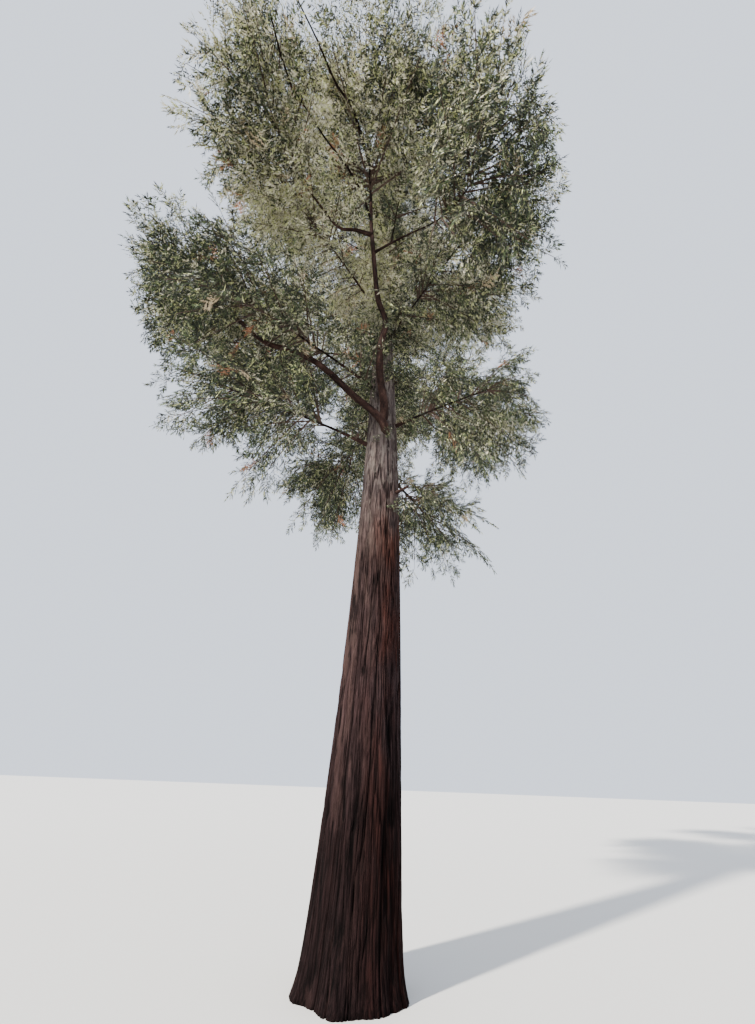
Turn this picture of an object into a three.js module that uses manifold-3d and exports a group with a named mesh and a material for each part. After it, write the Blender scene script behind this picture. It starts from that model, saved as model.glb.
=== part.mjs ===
// A whole coast redwood, in millimetres: +Z up, the origin at the centre of the flat cut at ground level.
// The trunk runs whole from its root flare to its tip. Boughs leave it in a spiral, each a single tapering
// limb, and each carries a mass of foliage: one stem, the twigs that branch from it, and blades on the
// twigs, each of which stands for a flat spray of needles. The side towards -Y is open low down, where the
// trunk shows, with two large limbs that leave it together at the height of a roof.
import * as THREE from "three";
import { mergeVertices } from "three/addons/utils/BufferGeometryUtils.js";
import Module from "manifold-3d";

const wasm = await Module();
wasm.setup();

// Trunk
const HEIGHT = 27000;
const TRUNK_RADIUS = 408;
const TRUNK_TAPER_POWER = 1.14;
const TRUNK_TOP_SHARE = 0.955;
const FLARE_SLOW = { radius: 30, height: 1600 };
const FLARE_QUICK = { radius: 45, height: 130 };
const FLUTE_DEPTH = { foot: 0.085, footHeight: 1100, stem: 0.03 };
const FLUTES = [
  { lobes: 5, share: 0.5, phase: 0.9 },
  { lobes: 8, share: 0.3, phase: 2.4 },
  { lobes: 3, share: 0.25, phase: 4 },
];
const SWEEP_X = { size: 160, halfWave: 13000, fade: 20000 };
const SWEEP_Y = { size: 70, halfWave: 17000, fade: 20000 };
const TRUNK_SIDES = 26;
const TRUNK_RINGS = 19;
const RING_SPREAD = 2.1;

// Crown
const CROWN_FOOT = 5300;
const REACH = 5450;
const REACH_AT_FOOT = 0.62;
const REACH_FULL_FROM = 0.28;
const REACH_FULL_TO = 0.42;
const REACH_TAPER_POWER = 0.75;
const REACH_SPARE = 600;
const REACH_LOSS = { share: 0.27, heading: -0.45, power: 4 };
const OPEN_HEADING = -Math.PI / 2;
const OPEN_FLOOR = 8800;
const OPEN_HALF_WIDTH = 0.45;
const OPEN_EDGE = 1.05;

// Spiral of boughs
const SPIRAL_COUNT = 28;
const BOUGH_COUNT = 17;
const SPIRAL_FOOT = 6150;
const SPIRAL_HEAD = 24900;
const SPIRAL_POWER = 1.12;
const GOLDEN_ANGLE = Math.PI * (3 - Math.sqrt(5));
const FIRST_HEADING = 1.15;
const HEADING_SPREAD = 0.3;
const PITCH_LOW = 0.2;
const PITCH_HIGH = 0.92;
const PITCH_SPREAD = 0.2;
const REACH_SPREAD = { least: 0.93, most: 1.03 };
const BOUGH_BEND = { root: 0.12, tip: -0.04 };
const BOUGH_RADIUS = { trunkShare: 0.13, least: 14 };
const BARE_SHARE = 0.32;
const BOUGH_TIP_SHARE = 0.5;
const BOUGH_SIDES = 6;
const BOUGH_STEPS = 4;
const DRAWN_BOUGH_STEPS = 10;
const COLLAR = { share: 0.4, length: 170 };

// Foliage
const SPACE_LEAST = 340;
const SPACE_SHARE = 0.34;
const SPRAY_BEYOND_STEM = 0.7;
const STEM_RADIUS_SHARE = 0.92;
const LONE_STEM_RADIUS_SHARE = 0.7;
const STEM_SIDES = 4;
const STEM_STEPS = 4;
const STEM_TIP_RADIUS = 12;
const STEM_FLATTEN = 0.45;
const TWIG_COUNT = 4;
const TWIG_FROM = 0.16;
const TWIG_TO = 0.84;
const TWIG_SPREAD = 1.0;
const TWIG_RISE = 0.85;
const TWIG_REACH = 1.02;
const TWIG_ROOT_SHARE = 0.62;
const SIDE_TWIG = { from: 0.6, spread: 0.95, stalkShare: 0.34, rootShare: 0.45 };
const TIP_TWIG_SPREAD = 0.75;
const STALK_TIP_SHARE = 0.6;
const STALK_LEAST = 0.16;
const SPRAY_LENGTH = 1480;
const SPRAY_FULL_SPACE = 1700;
const SPRAY_LEAST_SHARE = 0.45;
const SPRAY_WIDTH_SHARE = 0.46;
const SPRAY_THICKNESS_SHARE = 0.014;
const SPRAY_DROOP = { least: 0.25, most: 0.95 };
const SPRAY_SAG = 0.12;
const SPRAY_ROLL = 1.7;
const SPRAY_SPREAD = { least: 0.86, most: 1.1 };
const SPRAY_SHRINK = 0.6;
const TWIG_TURN = 2.2;
const TWIG_SHIFT = 0.4;

// Clearances
const GAP = 0.3;
const SPACE_MARGIN = 0.035;
const LIMB_CLEARANCE = 90;
const SPRAY_CLEARANCE_SHARE = 0.018;
const UPRIGHT_STRETCH = 1.15;
const SIZES_TRIED = [1, 0.75, 0.5];

const BARK = { color: 0x5d463b, roughness: 0.95, metalness: 0 };
const BOUGH_BARK = { color: 0x4a352c, roughness: 0.95, metalness: 0 };
const NEEDLES = { color: 0x556140, roughness: 0.75, metalness: 0 };

const UP = new THREE.Vector3(0, 0, 1);
const { lerp, clamp, smoothstep } = THREE.MathUtils;
const point = (x, y, z) => new THREE.Vector3(x, y, z);

// A repeatable number from 0 to 1 for two whole numbers.
function chance(a, b) {
  const v = Math.sin(a * 12.9898 + b * 78.233) * 43758.5453;
  return v - Math.floor(v);
}

// A direction that rises by pitch and faces heading, both in radians.
function direction(heading, pitch) {
  const level = Math.cos(pitch);
  return point(level * Math.cos(heading), level * Math.sin(heading), Math.sin(pitch));
}

// Solids

// A closed three.js geometry as a manifold solid.
function solidOf(geometry) {
  const bare = geometry.clone().deleteAttribute("normal").deleteAttribute("uv");
  const merged = mergeVertices(bare, 1e-3);
  const mesh = new wasm.Mesh({
    numProp: 3,
    vertProperties: new Float32Array(merged.attributes.position.array),
    triVerts: new Uint32Array(merged.index.array),
  });
  return new wasm.Manifold(mesh);
}

// The largest body of a solid, without loose scraps or the walls of sealed hollows.
function largestBody(solid) {
  return solid.decompose().reduce((best, body) => (body.volume() > best.volume() ? body : best));
}

function geometryOf(solid) {
  const { vertProperties, triVerts } = solid.getMesh();
  const geometry = new THREE.BufferGeometry();
  geometry.setAttribute("position", new THREE.BufferAttribute(vertProperties, 3));
  geometry.setIndex(new THREE.BufferAttribute(triVerts, 1));
  geometry.computeVertexNormals();
  return geometry;
}

// A unit cylinder bent so that its height runs from 0 to 1 along place(share, angle).
function bentCylinder(sides, steps, place) {
  const geometry = new THREE.CylinderGeometry(1, 1, 1, sides, steps);
  const position = geometry.attributes.position;
  for (let i = 0; i < position.count; i++) {
    const x = position.getX(i);
    const z = position.getZ(i);
    const onRim = Math.hypot(x, z) > 0.5 ? 1 : 0;
    const placed = place(position.getY(i) + 0.5, Math.atan2(x, z), onRim);
    position.setXYZ(i, placed.x, placed.y, placed.z);
  }
  return geometry;
}

// A tube with flat ends along a curve, whose radius is given by radiusAt(share of the length).
function taperedTube(curve, radiusAt, sides, steps) {
  const frames = curve.computeFrenetFrames(steps, false);
  return bentCylinder(sides, steps, (share, angle, onRim) => {
    const i = Math.round(share * steps);
    const radius = radiusAt(share) * onRim;
    return curve
      .getPointAt(share)
      .addScaledVector(frames.normals[i], radius * Math.cos(angle))
      .addScaledVector(frames.binormals[i], radius * Math.sin(angle));
  });
}

// Trunk

function trunkCentre(z) {
  const wave = ({ size, halfWave, fade }) => size * Math.sin((Math.PI * z) / halfWave) * Math.exp(-z / fade);
  return point(wave(SWEEP_X), wave(SWEEP_Y), z);
}

function trunkRadius(z) {
  const taper = TRUNK_RADIUS * Math.pow(Math.max(0, 1 - z / HEIGHT), TRUNK_TAPER_POWER);
  const flare = ({ radius, height }) => radius * Math.exp(-z / height);
  return taper + flare(FLARE_SLOW) + flare(FLARE_QUICK);
}

// How far the trunk's buttresses stand out, as a share of its radius.
function flutes(z, angle) {
  const depth = FLUTE_DEPTH.foot * Math.exp(-z / FLUTE_DEPTH.footHeight) + FLUTE_DEPTH.stem;
  const lobe = ({ lobes, share, phase }) => share * Math.cos(lobes * angle + phase);
  return depth * FLUTES.reduce((sum, one) => sum + lobe(one), 0);
}

// The trunk's solid, grown outwards by extra.
function trunkSolid(extra) {
  const top = HEIGHT * TRUNK_TOP_SHARE;
  const geometry = bentCylinder(TRUNK_SIDES, TRUNK_RINGS, (share, angle, onRim) => {
    const z = top * Math.pow(share, RING_SPREAD);
    const radius = (trunkRadius(z) * (1 + flutes(z, angle)) + extra) * onRim;
    return trunkCentre(z).add(point(radius * Math.sin(angle), -radius * Math.cos(angle), 0));
  });
  return solidOf(geometry);
}

const trunk = trunkSolid(0);
const swollenTrunk = trunkSolid(GAP);

// Crown

// How far the crown reaches from the trunk at a height, on the side that faces heading. One side is crowded
// and stays shorter.
function crownReach(z, heading) {
  const share = clamp((z - CROWN_FOOT) / (HEIGHT - CROWN_FOOT), 0, 1);
  const swell = lerp(REACH_AT_FOOT, 1, clamp(share / REACH_FULL_FROM, 0, 1));
  const narrow = clamp((1 - share) / (1 - REACH_FULL_TO), 0, 1);
  const crowded = Math.pow(Math.max(0, Math.cos(heading - REACH_LOSS.heading)), REACH_LOSS.power);
  return REACH * (1 - REACH_LOSS.share * crowded) * swell * Math.pow(narrow, REACH_TAPER_POWER);
}

// The lowest foliage at a place, which is higher on the open side.
function crownFloor(x, y) {
  const away = Math.cos(Math.atan2(y, x) - OPEN_HEADING);
  const open = smoothstep(away, Math.cos(OPEN_EDGE), Math.cos(OPEN_HALF_WIDTH));
  return lerp(CROWN_FOOT, OPEN_FLOOR, open);
}

// The curve of a limb that starts at a point and bends from one pitch to another.
function bentLimb(start, heading, pitchFrom, pitchTo, length) {
  const middle = start.clone().addScaledVector(direction(heading, pitchFrom), length / 2);
  const end = middle.clone().addScaledVector(direction(heading, pitchTo), length / 2);
  return new THREE.QuadraticBezierCurve3(start, middle, end);
}

// One limb: a bough, where it has one, and the stem and size of the mass of foliage beyond it. A limb with
// no bough starts at start, and its stem bends from stemPitch to endPitch.
function limb(sizes) {
  const { name, bough, boughRadius, start, stemHeading, stemPitch, stemLength } = sizes;
  const { stemRadius, halfWidth, endPitch = stemPitch * STEM_FLATTEN } = sizes;
  const outward = bough ? bough.getTangent(1) : direction(stemHeading, stemPitch);
  const stemStart = bough ? bough.getPoint(1).addScaledVector(outward, GAP) : start;
  const middle = stemStart.clone().addScaledVector(outward, stemLength / 2);
  const end = middle.clone().addScaledVector(direction(stemHeading, endPitch), stemLength / 2);
  const stem = new THREE.QuadraticBezierCurve3(stemStart, middle, end);
  return { name, bough, boughRadius, stem, stemRadius, halfWidth };
}

// Keeps the lowest limbs out of the open side.
function clearHeading(heading, z) {
  const turn = Math.atan2(Math.sin(heading - OPEN_HEADING), Math.cos(heading - OPEN_HEADING));
  const kept = z < OPEN_FLOOR ? Math.max(Math.abs(turn), OPEN_EDGE) : Math.abs(turn);
  return OPEN_HEADING + Math.sign(turn) * kept;
}

// The length of the sprays in a mass of a given half width.
function sprayLength(halfWidth) {
  return SPRAY_LENGTH * clamp(halfWidth / SPRAY_FULL_SPACE, SPRAY_LEAST_SHARE, 1.08);
}

function spiralLimb(k) {
  const share = k / (SPIRAL_COUNT - 1);
  const z = lerp(SPIRAL_FOOT, SPIRAL_HEAD, Math.pow(share, SPIRAL_POWER));
  const heading = clearHeading(FIRST_HEADING + k * GOLDEN_ANGLE + HEADING_SPREAD * (chance(k, 2) - 0.5), z);
  const pitch = lerp(PITCH_LOW, PITCH_HIGH, share) + PITCH_SPREAD * (chance(k, 1) - 0.5);
  const tipHeight = z + 0.7 * crownReach(z, heading) * Math.tan(pitch);
  const reach = crownReach(tipHeight, heading) * lerp(REACH_SPREAD.least, REACH_SPREAD.most, chance(k, 3));
  const halfWidth = SPACE_LEAST + SPACE_SHARE * reach;
  const stemReach = reach - SPRAY_BEYOND_STEM * sprayLength(halfWidth);
  const length = stemReach / Math.cos(pitch * lerp(1, STEM_FLATTEN, 0.4));
  const number = String(k + 1).padStart(2, "0");
  const start = trunkCentre(z);
  const radius = BOUGH_RADIUS.trunkShare * trunkRadius(z) + BOUGH_RADIUS.least;
  const shared = { name: number, stemHeading: heading, stemPitch: pitch, halfWidth, start };
  if (k >= BOUGH_COUNT) {
    return limb({ ...shared, stemLength: length, stemRadius: LONE_STEM_RADIUS_SHARE * radius });
  }
  return limb({
    ...shared,
    bough: bentLimb(start, heading, pitch + BOUGH_BEND.root, pitch + BOUGH_BEND.tip, length * BARE_SHARE),
    boughRadius: radius,
    stemLength: length * (1 - BARE_SHARE),
    stemRadius: STEM_RADIUS_SHARE * BOUGH_TIP_SHARE * radius,
  });
}

// A limb whose bough follows a few points, as the photograph shows it.
function drawnLimb(name, points, boughRadius, stemHeading, stemPitch, stemLength, halfWidth) {
  const bough = new THREE.CatmullRomCurve3(points.map(([x, y, z]) => point(x, y, z)));
  const stemRadius = STEM_RADIUS_SHARE * BOUGH_TIP_SHARE * boughRadius;
  return limb({ name, bough, boughRadius, stemHeading, stemPitch, stemLength, halfWidth, stemRadius });
}

const LEFT_BOUGH = [
  [190, 20, 6720],
  [130, -310, 7020],
  [-520, -460, 7710],
  [-1310, -580, 8550],
  [-1900, -660, 8870],
  [-2380, -740, 8930],
  [-3140, -900, 9570],
];
const FRONT_BOUGH = [
  [110, -20, 6980],
  [130, -310, 7550],
  [20, -500, 8290],
  [10, -720, 9140],
  [100, -880, 9740],
  [-90, -1070, 10400],
  [-270, -1450, 12100],
  [-360, -1640, 13050],
  [-410, -1920, 13950],
];
const FRONT_LEFT_BOUGH = [
  [-330, -1580, 12750],
  [-740, -1750, 12490],
  [-1110, -1860, 12250],
  [-1700, -2300, 12650],
];
const FRONT_RIGHT_BOUGH = [
  [-270, -1440, 12000],
  [340, -1750, 12000],
  [930, -2200, 11400],
];
const drawnLimbs = [
  drawnLimb("left", LEFT_BOUGH, 84, -2.95, 1.0, 1800, 1900),
  drawnLimb("front", FRONT_BOUGH, 88, -1.7, 0.7, 2900, 2350),
  drawnLimb("front_left", FRONT_LEFT_BOUGH, 48, -1.75, 0.5, 2300, 1850),
  drawnLimb("front_right", FRONT_RIGHT_BOUGH, 32, -1.25, 0.5, 2200, 1950),
];
const spiralLimbs = Array.from({ length: SPIRAL_COUNT }, (_, k) => spiralLimb(k));
const topLimb = limb({
  name: "top",
  start: trunkCentre(HEIGHT * TRUNK_TOP_SHARE).addScaledVector(UP, GAP),
  stemHeading: 0,
  stemPitch: Math.PI / 2,
  endPitch: Math.PI / 2,
  stemLength: 500,
  halfWidth: 760,
  stemRadius: 14,
});
const limbs = [...drawnLimbs, ...spiralLimbs, topLimb];

// Spaces

const PATH_STEPS = 6;

function pathOf(curve, radiusAt) {
  const points = curve.getSpacedPoints(PATH_STEPS);
  return points.slice(1).map((end, i) => ({
    line: new THREE.Line3(points[i], end),
    radius: radiusAt((i + 0.5) / PATH_STEPS),
  }));
}

const boughRadiusAt = (radius) => (share) => radius * lerp(1, BOUGH_TIP_SHARE, share);
const trunkPath = Array.from({ length: TRUNK_RINGS }, (_, i) => {
  const [low, high] = [i, i + 1].map((j) => (HEIGHT * TRUNK_TOP_SHARE * j) / TRUNK_RINGS);
  return { line: new THREE.Line3(trunkCentre(low), trunkCentre(high)), radius: trunkRadius(low) };
});
const woodPaths = limbs
  .filter(({ bough }) => bough)
  .flatMap(({ bough, boughRadius }) => pathOf(bough, boughRadiusAt(boughRadius)))
  .concat(trunkPath);

// Whether a straight piece of a given radius keeps clear of the trunk and all boughs.
function clearOfWood(line, radius) {
  return woodPaths.every((wood) => {
    const least = wood.radius + radius + LIMB_CLEARANCE;
    return line.distanceSqToLine3(wood.line) > least * least;
  });
}

const stemPoints = limbs.map(({ stem }) => stem.getSpacedPoints(PATH_STEPS));

// The distance from a point to a mass's stem, as a share of the mass's half width.
function nearness(p, i) {
  const far = stemPoints[i].map((s) => Math.hypot(p.x - s.x, p.y - s.y, UPRIGHT_STRETCH * (p.z - s.z)));
  return Math.min(...far) / limbs[i].halfWidth;
}

// Whether a point lies in the crown, and nearer to the mass's own stem than to any other.
function inSpace(p, own) {
  const centre = trunkCentre(p.z);
  const out = Math.hypot(p.x - centre.x, p.y - centre.y);
  const reach = crownReach(p.z, Math.atan2(p.y, p.x)) + REACH_SPARE;
  if (p.z < crownFloor(p.x, p.y) || p.z > HEIGHT || out > reach) return false;
  const near = nearness(p, own) + SPACE_MARGIN;
  return limbs.every((_, i) => i === own || nearness(p, i) > near);
}

// Foliage

// A shoot is a three-sided stalk that ends in a spray of needles, which is a thin toothed blade.
// The blade's outline on one side, along its length, as shares of its length and half width.
const SPRAY_OUTLINE = [
  [0.42, 1],
  [0.5, 0.42],
  [0.79, 0.62],
  [1, 0],
];
const SPRAY_CREST = 0.42;

// A shoot that leaves a carrier at a share of its length, turned towards aside by spread.
function makeShoot({ carrier, share, aside, spread, stalkLength, rootRadius, length, roll, droop }) {
  const tangent = carrier.getTangent(share);
  const heading = tangent.multiplyScalar(Math.cos(spread)).addScaledVector(aside, Math.sin(spread));
  const root = carrier.getPoint(share);
  const stalk = new THREE.LineCurve3(root, root.clone().addScaledVector(heading, stalkLength));
  const along = heading.clone().addScaledVector(UP, -droop).normalize();
  const across = levelAcross(along).applyAxisAngle(along, roll);
  return { stalk, rootRadius, along, across, length };
}

// The level direction at right angles to another.
function levelAcross(v) {
  const across = v.clone().cross(UP);
  return across.lengthSq() > 1e-4 ? across.normalize() : point(1, 0, 0);
}

// The direction across a tangent that turns from the level by an angle, flattened towards the level.
function turnedAside(tangent, turn) {
  const level = levelAcross(tangent);
  const lift = level.clone().cross(tangent).normalize();
  return level
    .multiplyScalar(Math.cos(turn))
    .addScaledVector(lift, TWIG_RISE * Math.sin(turn))
    .normalize();
}

// The corners of a shoot's two stalk ends, each left, top and right, and the blade's rim and crest.
function shootPoints({ stalk, rootRadius, along, across, length }) {
  const normal = along.clone().cross(across).normalize();
  const ring = (centre, radius) =>
    [-1, 0, 1].map((side) =>
      centre
        .clone()
        .addScaledVector(across, radius * Math.sin((side * 2 * Math.PI) / 3))
        .addScaledVector(normal, radius * Math.cos((side * 2 * Math.PI) / 3)),
    );
  const half = (length * SPRAY_WIDTH_SHARE) / 2;
  const place = (x, y) =>
    stalk.v2
      .clone()
      .addScaledVector(along, length * x)
      .addScaledVector(across, half * y)
      .addScaledVector(UP, -length * SPRAY_SAG * x * x);
  const left = SPRAY_OUTLINE.map(([x, y]) => place(x, -y));
  const right = SPRAY_OUTLINE.slice(0, -1).map(([x, y]) => place(x, y));
  return {
    foot: ring(stalk.v1, rootRadius),
    neck: ring(stalk.v2, rootRadius * STALK_TIP_SHARE),
    rim: [...left, ...right.reverse()],
    crest: place(SPRAY_CREST, 0),
    normal,
  };
}

function shootSolid(shoot) {
  const { foot, neck, rim, crest, normal } = shootPoints(shoot);
  const half = (shoot.length * SPRAY_THICKNESS_SHARE) / 2;
  const points = [
    ...foot,
    ...neck,
    ...rim,
    crest.clone().addScaledVector(normal, half),
    crest.clone().addScaledVector(normal, -half),
  ];
  const [footLeft, footTop, footRight, left, top, right] = [0, 1, 2, 3, 4, 5];
  const [over, under] = [6 + rim.length, 7 + rim.length];
  const edge = [left, ...rim.map((_, i) => 6 + i), right];
  const faces = [
    [footLeft, footTop, footRight],
    [footLeft, left, footTop],
    [left, top, footTop],
    [footTop, top, footRight],
    [top, right, footRight],
    [footRight, right, footLeft],
    [right, left, footLeft],
    [top, left, over],
    [right, top, over],
    [left, right, under],
    ...edge.slice(1).map((next, i) => [edge[i], next, over]),
    ...edge.slice(1).map((next, i) => [next, edge[i], under]),
  ];
  const geometry = new THREE.BufferGeometry().setFromPoints(points);
  geometry.setIndex(faces.flat());
  return solidOf(geometry);
}

// The straight edges that a shoot is tested by: its blade's rim and rib, and its stalk beyond its root.
function shootEdges(shoot) {
  const { rim, crest, neck } = shootPoints(shoot);
  const outline = [neck[1], ...rim, neck[1]];
  const edges = outline.slice(1).map((p, i) => new THREE.Line3(outline[i], p));
  const { v1, v2 } = shoot.stalk;
  return [...edges, new THREE.Line3(neck[1], crest), new THREE.Line3(v1.clone().lerp(v2, 0.3), v2)];
}

// Whether a shoot stays in its mass's space, clear of the wood and of the shoots already there.
function shootFits(shoot, own, others) {
  const { rim, crest } = shootPoints(shoot);
  if (![shoot.stalk.v2, ...rim, crest].every((p) => inSpace(p, own))) return false;
  const edges = shootEdges(shoot);
  if (!edges.every((edge) => clearOfWood(edge, shoot.rootRadius))) return false;
  const nearest = Math.pow(SPRAY_CLEARANCE_SHARE * shoot.length, 2);
  return others.every((other) =>
    shootEdges(other)
      .slice(0, -1)
      .every((far) => edges.slice(0, -1).every((edge) => edge.distanceSqToLine3(far) > nearest)),
  );
}

// The first of the sizes tried at which the shoot fits, or nothing.
function fittingShoot(choices, own, others) {
  for (const size of SIZES_TRIED) {
    const shoot = makeShoot({
      ...choices,
      stalkLength: choices.stalkLength * size,
      length: choices.length * lerp(1, size, SPRAY_SHRINK),
    });
    if (shootFits(shoot, own, others)) return shoot;
  }
  return null;
}

// The shoots of a mass. Twigs leave its stem in a spiral that is flattened towards the level, and each
// bears one more shoot on its side. Three shoots end the stem.
function shootsOf({ stem, stemRadius, halfWidth }, own) {
  const long = sprayLength(halfWidth);
  const shoots = [];
  const add = (choices, n) => {
    const length = long * lerp(SPRAY_SPREAD.least, SPRAY_SPREAD.most, chance(own, 70 + n));
    const roll = SPRAY_ROLL * (chance(own, 40 + n) - 0.5);
    const droop = lerp(SPRAY_DROOP.least, SPRAY_DROOP.most, chance(own, 100 + n));
    const shoot = fittingShoot({ ...choices, length, roll, droop }, own, shoots);
    if (shoot) shoots.push(shoot);
    return shoot;
  };
  const tip = { carrier: stem, aside: levelAcross(stem.getTangent(0.95)), rootRadius: 0.5 * STEM_TIP_RADIUS };
  add({ ...tip, share: 0.97, spread: 0, stalkLength: 0.1 * long }, 0);
  for (const side of [-1, 1]) {
    const aside = tip.aside.clone().multiplyScalar(side);
    add({ ...tip, share: 0.91, aside, spread: TIP_TWIG_SPREAD, stalkLength: 0.25 * long }, 1 + side);
  }
  for (let j = 0; j < TWIG_COUNT; j++) {
    const shift = TWIG_SHIFT * (chance(own, j) - 0.5);
    const share = lerp(TWIG_FROM, TWIG_TO, (j + shift) / (TWIG_COUNT - 1));
    const rootRadius = TWIG_ROOT_SHARE * lerp(stemRadius, STEM_TIP_RADIUS, share);
    const reach = TWIG_REACH * halfWidth * lerp(1, 0.7, share);
    const stalkLength = Math.max(reach - long, STALK_LEAST * halfWidth);
    const turn = (j % 2) * Math.PI + TWIG_TURN * (chance(own, 10 + j) - 0.5);
    const aside = turnedAside(stem.getTangent(share), turn);
    const twig = add({ carrier: stem, share, aside, spread: TWIG_SPREAD, stalkLength, rootRadius }, 4 + j);
    if (!twig) continue;
    const { from, spread, stalkShare, rootShare } = SIDE_TWIG;
    const side = {
      carrier: twig.stalk,
      share: from,
      aside: levelAcross(twig.along).multiplyScalar(j % 2 ? 1 : -1),
      spread,
      stalkLength: stalkShare * long,
      rootRadius: rootRadius * lerp(1, STALK_TIP_SHARE, from) * rootShare,
    };
    add(side, 14 + j);
  }
  return shoots;
}

function foliageSolid(one, own) {
  const { stem, stemRadius, bough } = one;
  const stemTube = taperedTube(
    stem,
    (share) => lerp(stemRadius, STEM_TIP_RADIUS, share),
    STEM_SIDES,
    STEM_STEPS,
  );
  const fused = wasm.Manifold.union([solidOf(stemTube), ...shootsOf(one, own).map(shootSolid)]);
  return largestBody(bough ? fused : fused.subtract(swollenTrunk));
}

// Boughs

function boughSolid(curve, radius, extra) {
  const length = curve.getLength();
  const radiusAt = (share) => {
    const collar = 1 + COLLAR.share * Math.exp((-share * length) / COLLAR.length);
    return boughRadiusAt(radius)(share) * collar + extra;
  };
  const steps = curve.isCatmullRomCurve3 ? DRAWN_BOUGH_STEPS : BOUGH_STEPS;
  return solidOf(taperedTube(curve, radiusAt, BOUGH_SIDES, steps));
}

// The broken stub on the right of the trunk, below the crown.
const STUB_CURVE = new THREE.LineCurve3(point(150, -60, 5350), point(600, -190, 5600));
const STUB_RADIUS = 42;

const bark = new THREE.MeshStandardMaterial(BARK);
const boughBark = new THREE.MeshStandardMaterial(BOUGH_BARK);
const needles = new THREE.MeshStandardMaterial(NEEDLES);
const tree = new THREE.Group();

function addNode(name, solid, material) {
  const mesh = new THREE.Mesh(geometryOf(solid), material);
  mesh.name = name;
  tree.add(mesh);
}

addNode("trunk", trunk, bark);
addNode("stub", largestBody(boughSolid(STUB_CURVE, STUB_RADIUS, 0).subtract(swollenTrunk)), boughBark);
const grownOn = { front_left: "front", front_right: "front" };
for (const { name, bough, boughRadius } of limbs.filter((one) => one.bough)) {
  const parent = limbs.find((one) => one.name === grownOn[name]);
  const carrier = parent ? boughSolid(parent.bough, parent.boughRadius, GAP) : swollenTrunk;
  addNode(`bough_${name}`, largestBody(boughSolid(bough, boughRadius, 0).subtract(carrier)), boughBark);
}
limbs.forEach((one, own) => addNode(`foliage_${one.name}`, foliageSolid(one, own), needles));

export default tree;
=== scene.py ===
import math
from functools import cached_property
from typing import NamedTuple

import bpy
import numpy as np
from mathutils import Matrix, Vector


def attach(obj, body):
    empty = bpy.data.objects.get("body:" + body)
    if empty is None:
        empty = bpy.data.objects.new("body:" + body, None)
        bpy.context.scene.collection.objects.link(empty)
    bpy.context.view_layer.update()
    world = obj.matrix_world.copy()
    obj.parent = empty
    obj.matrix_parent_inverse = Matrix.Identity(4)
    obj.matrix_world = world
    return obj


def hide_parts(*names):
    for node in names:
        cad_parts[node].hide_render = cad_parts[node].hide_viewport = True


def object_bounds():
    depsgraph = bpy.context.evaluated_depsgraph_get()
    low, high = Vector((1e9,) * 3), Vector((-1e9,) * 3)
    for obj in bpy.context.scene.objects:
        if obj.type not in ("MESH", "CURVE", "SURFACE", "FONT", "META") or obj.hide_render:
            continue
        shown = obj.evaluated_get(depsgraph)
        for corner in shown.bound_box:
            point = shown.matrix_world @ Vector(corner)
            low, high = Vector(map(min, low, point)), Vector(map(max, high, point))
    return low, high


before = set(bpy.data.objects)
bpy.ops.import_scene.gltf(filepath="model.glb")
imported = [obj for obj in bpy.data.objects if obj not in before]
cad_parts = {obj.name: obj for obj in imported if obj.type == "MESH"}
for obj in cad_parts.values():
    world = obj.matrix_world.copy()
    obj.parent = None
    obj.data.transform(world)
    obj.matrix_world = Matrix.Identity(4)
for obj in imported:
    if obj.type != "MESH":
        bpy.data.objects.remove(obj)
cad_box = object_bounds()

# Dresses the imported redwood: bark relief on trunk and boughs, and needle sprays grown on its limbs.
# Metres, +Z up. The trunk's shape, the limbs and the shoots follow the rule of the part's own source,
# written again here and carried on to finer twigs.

# Trunk. A flare or a sweep has its size and how fast it fades upwards, a sweep also the height of half a
# wave, and a flute its count, share and phase.
HEIGHT = 27.0
TRUNK_RADIUS = 0.408
TRUNK_TAPER_POWER = 1.14
TRUNK_TOP = HEIGHT * 0.955
FLARES = ((0.030, 1.6), (0.045, 0.13))
FLUTE_DEPTH_FOOT = 0.085
FLUTE_FOOT_HEIGHT = 1.1
FLUTE_DEPTH_STEM = 0.03
FLUTES = ((5, 0.5, 0.9), (8, 0.3, 2.4), (3, 0.25, 4.0))
SWEEPS = ((0.16, 13.0, 20.0), (0.07, 17.0, 20.0))

# Crown, in the shares of its height where its reach is full, and its open side, which starts higher up
CROWN_FOOT = 5.3
REACH = 5.45
REACH_AT_FOOT = 0.62
REACH_FULL_FROM = 0.28
REACH_FULL_TO = 0.42
REACH_TAPER_POWER = 0.75
REACH_SPARE = 0.6
# The crowded side: share of the reach lost, heading, and how narrow it is
REACH_LOSS = (0.27, -0.45, 4)
OPEN_HEADING = -math.pi / 2
OPEN_FLOOR = 8.8
OPEN_HALF_WIDTH = 0.45
OPEN_EDGE = 1.05

# Spiral of boughs, which rise more steeply the higher they are
SPIRAL_COUNT = 28
BOUGH_COUNT = 17
SPIRAL_FOOT = 6.15
SPIRAL_HEAD = 24.9
SPIRAL_POWER = 1.12
GOLDEN_ANGLE = math.pi * (3 - math.sqrt(5))
FIRST_HEADING = 1.15
HEADING_SPREAD = 0.3
PITCH_LOW = 0.2
PITCH_HIGH = 0.92
PITCH_SPREAD = 0.2
REACH_SPREAD = (0.93, 1.03)
BOUGH_BEND = (0.12, -0.04)
# The share of the reach that gives a tip's height, and of the flattening that counts for a limb's length
TIP_REACH_SHARE = 0.7
MEAN_FLATTENING = 0.4
# A bough's radius at the trunk: share of the trunk's radius, and the least
BOUGH_RADIUS = (0.13, 0.014)
BARE_SHARE = 0.32
BOUGH_TIP_SHARE = 0.5
# The swelling where a bough leaves the trunk: share of its radius, and length
COLLAR = (0.4, 0.17)

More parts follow.
